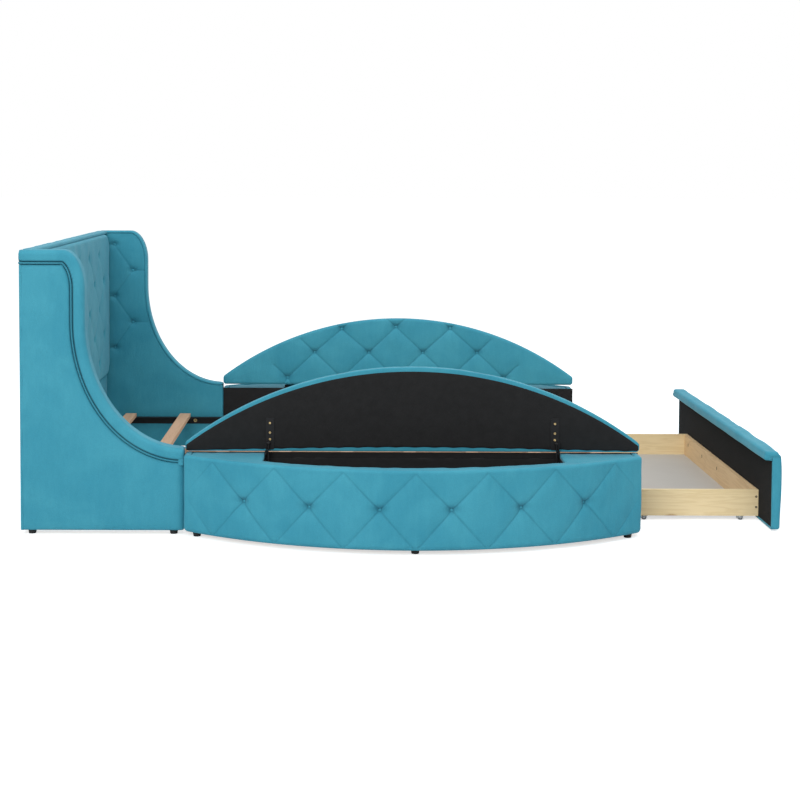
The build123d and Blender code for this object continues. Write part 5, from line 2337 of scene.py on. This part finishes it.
@dataclass
class Fasteners:
    """The heads of the screws and bolts that show."""

    bolt_x: Sequence[float] = (0.44, 0.69, 1.351, 2.01)
    bolt_y: float = 0.7687
    bolt_z: float = 0.1325
    bolt_radius: float = 0.0085
    screw_radius: float = 0.0040
    bracket_x: Sequence[float] = (0.859, 1.843)
    bracket_y: Sequence[float] = (0.841, 0.864, 0.8977)
    bracket_low: float = 0.2787
    drawer_half: float = 0.580
    drawer_ends: Sequence[float] = (2.1285, 2.6035)
    drawer_rows: Sequence[float] = (0.048, 0.086)
    front_inner: float = 2.596
    front_y: Sequence[float] = (0.49, 0.235, -0.02, -0.49)
    front_rows: Sequence[float] = (0.074, 0.078, 0.082)
    front_radius: float = 0.0028
    caster_x: Sequence[float] = (2.199, 2.547)
    caster_y: float = 0.568
    cheek_radius: float = 0.0105
    cheek_thick: float = 0.003
    cheek_gap: float = 0.0095
    cheek_lift: float = 0.0004
    cheek_round: float = 0.0007
    hub_radius: float = 0.0055

    def cheek(self, at: Sequence[float]) -> bmesh.types.BMesh:
        """One round guard, with its edges softened.

        Args:
            at: Its middle.

        Returns:
            Its mesh.
        """
        disc, radius = bmesh.new(), self.cheek_radius
        bmesh.ops.create_cone(
            disc, cap_ends=True, segments=32, radius1=radius, radius2=radius, depth=self.cheek_thick
        )
        bmesh.ops.bevel(
            disc,
            geom=disc.edges[:],
            offset=self.cheek_round,
            segments=2,
            profile=0.5,
            affect="EDGES",
            material=-1,
        )
        turn = Matrix.Translation(at) @ Matrix.Rotation(math.pi / 2, 4, "X")
        bmesh.ops.transform(disc, matrix=turn, verts=disc.verts)
        return disc

    def cheeks(self) -> bmesh.types.BMesh:
        """The round guards on both faces of each caster, with the axle's ends.

        Returns:
            Their mesh.
        """
        parts = []
        lift = self.cheek_radius + self.cheek_lift
        casters = [(x, y) for x in self.caster_x for y in (-self.caster_y, self.caster_y)]
        for x, y in casters:
            for side in (-1, 1):
                face = y + side * self.cheek_gap
                parts.append(self.cheek((x, face, lift)))
                end = (x, face + side * self.cheek_thick / 2, lift)
                parts.append(screw_head(end, (0, side, 0), self.hub_radius))
        return join(parts)

    def rail_bolts(self, side: Side) -> bmesh.types.BMesh:
        """The bolt heads in one side rail."""
        places = [(x, side.value * self.bolt_y, self.bolt_z) for x in self.bolt_x]
        return join(screw_head(at, (0, -side.value, 0), self.bolt_radius) for at in places)

    def bracket_screws(self, side: Side) -> bmesh.types.BMesh:
        """The screws of one lid's brackets.

        Args:
            side: Which lid.

        Returns:
            Their mesh, turned up with the lid.
        """
        places = [(x, y, self.bracket_low) for x in self.bracket_x for y in self.bracket_y]
        heads = join(screw_head(at, DOWN, self.screw_radius) for at in places)
        bmesh.ops.transform(heads, matrix=Lids().swing(), verts=heads.verts)
        return mirrored_y(heads) if side is Side.LEFT else heads

    def drawer_screws(self) -> bmesh.types.BMesh:
        """The screws in the drawer's sides and behind its face.

        Returns:
            Their mesh.
        """
        corners = [(x, z) for x in self.drawer_ends for z in self.drawer_rows]
        sides = [((x, sign * self.drawer_half, z), sign) for x, z in corners for sign in (-1, 1)]
        heads = [screw_head(at, (0, sign, 0), self.screw_radius) for at, sign in sides]
        front = [(self.front_inner, y, z) for y in self.front_y for z in self.front_rows]
        return join(heads + [screw_head(at, HEADWARD, self.front_radius) for at in front])

    def dress(self, shop: Workshop) -> None:
        """Make the caster guards, the rail bolts, the bracket screws and the drawer's screws.

        Args:
            shop: Where the pieces are made.
        """
        shop.piece(self.cheeks(), "caster_round_cheeks", ZINC, DRAWER)
        for side in Side:
            word = side.word
            shop.piece(self.rail_bolts(side), f"rail_bolt_heads_{word}", BRASS, BASE)
            shop.piece(self.bracket_screws(side), f"lid_bracket_screws_{word}", BRASS, f"lid_{word}")
        shop.piece(self.drawer_screws(), "drawer_screw_heads", STEEL, DRAWER)


def main() -> None:
    """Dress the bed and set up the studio."""
    logging.basicConfig(level=logging.INFO, format="%(message)s")
    palette = Palette()
    dress_frame(palette)
    shop = Workshop(palette)
    for assembly in (Headboard(), Wings(), StorageBoxes(), Lids(), FootDrawer(), Fasteners()):
        assembly.dress(shop)
    Studio().build()


if __name__ == "__main__":
    main()
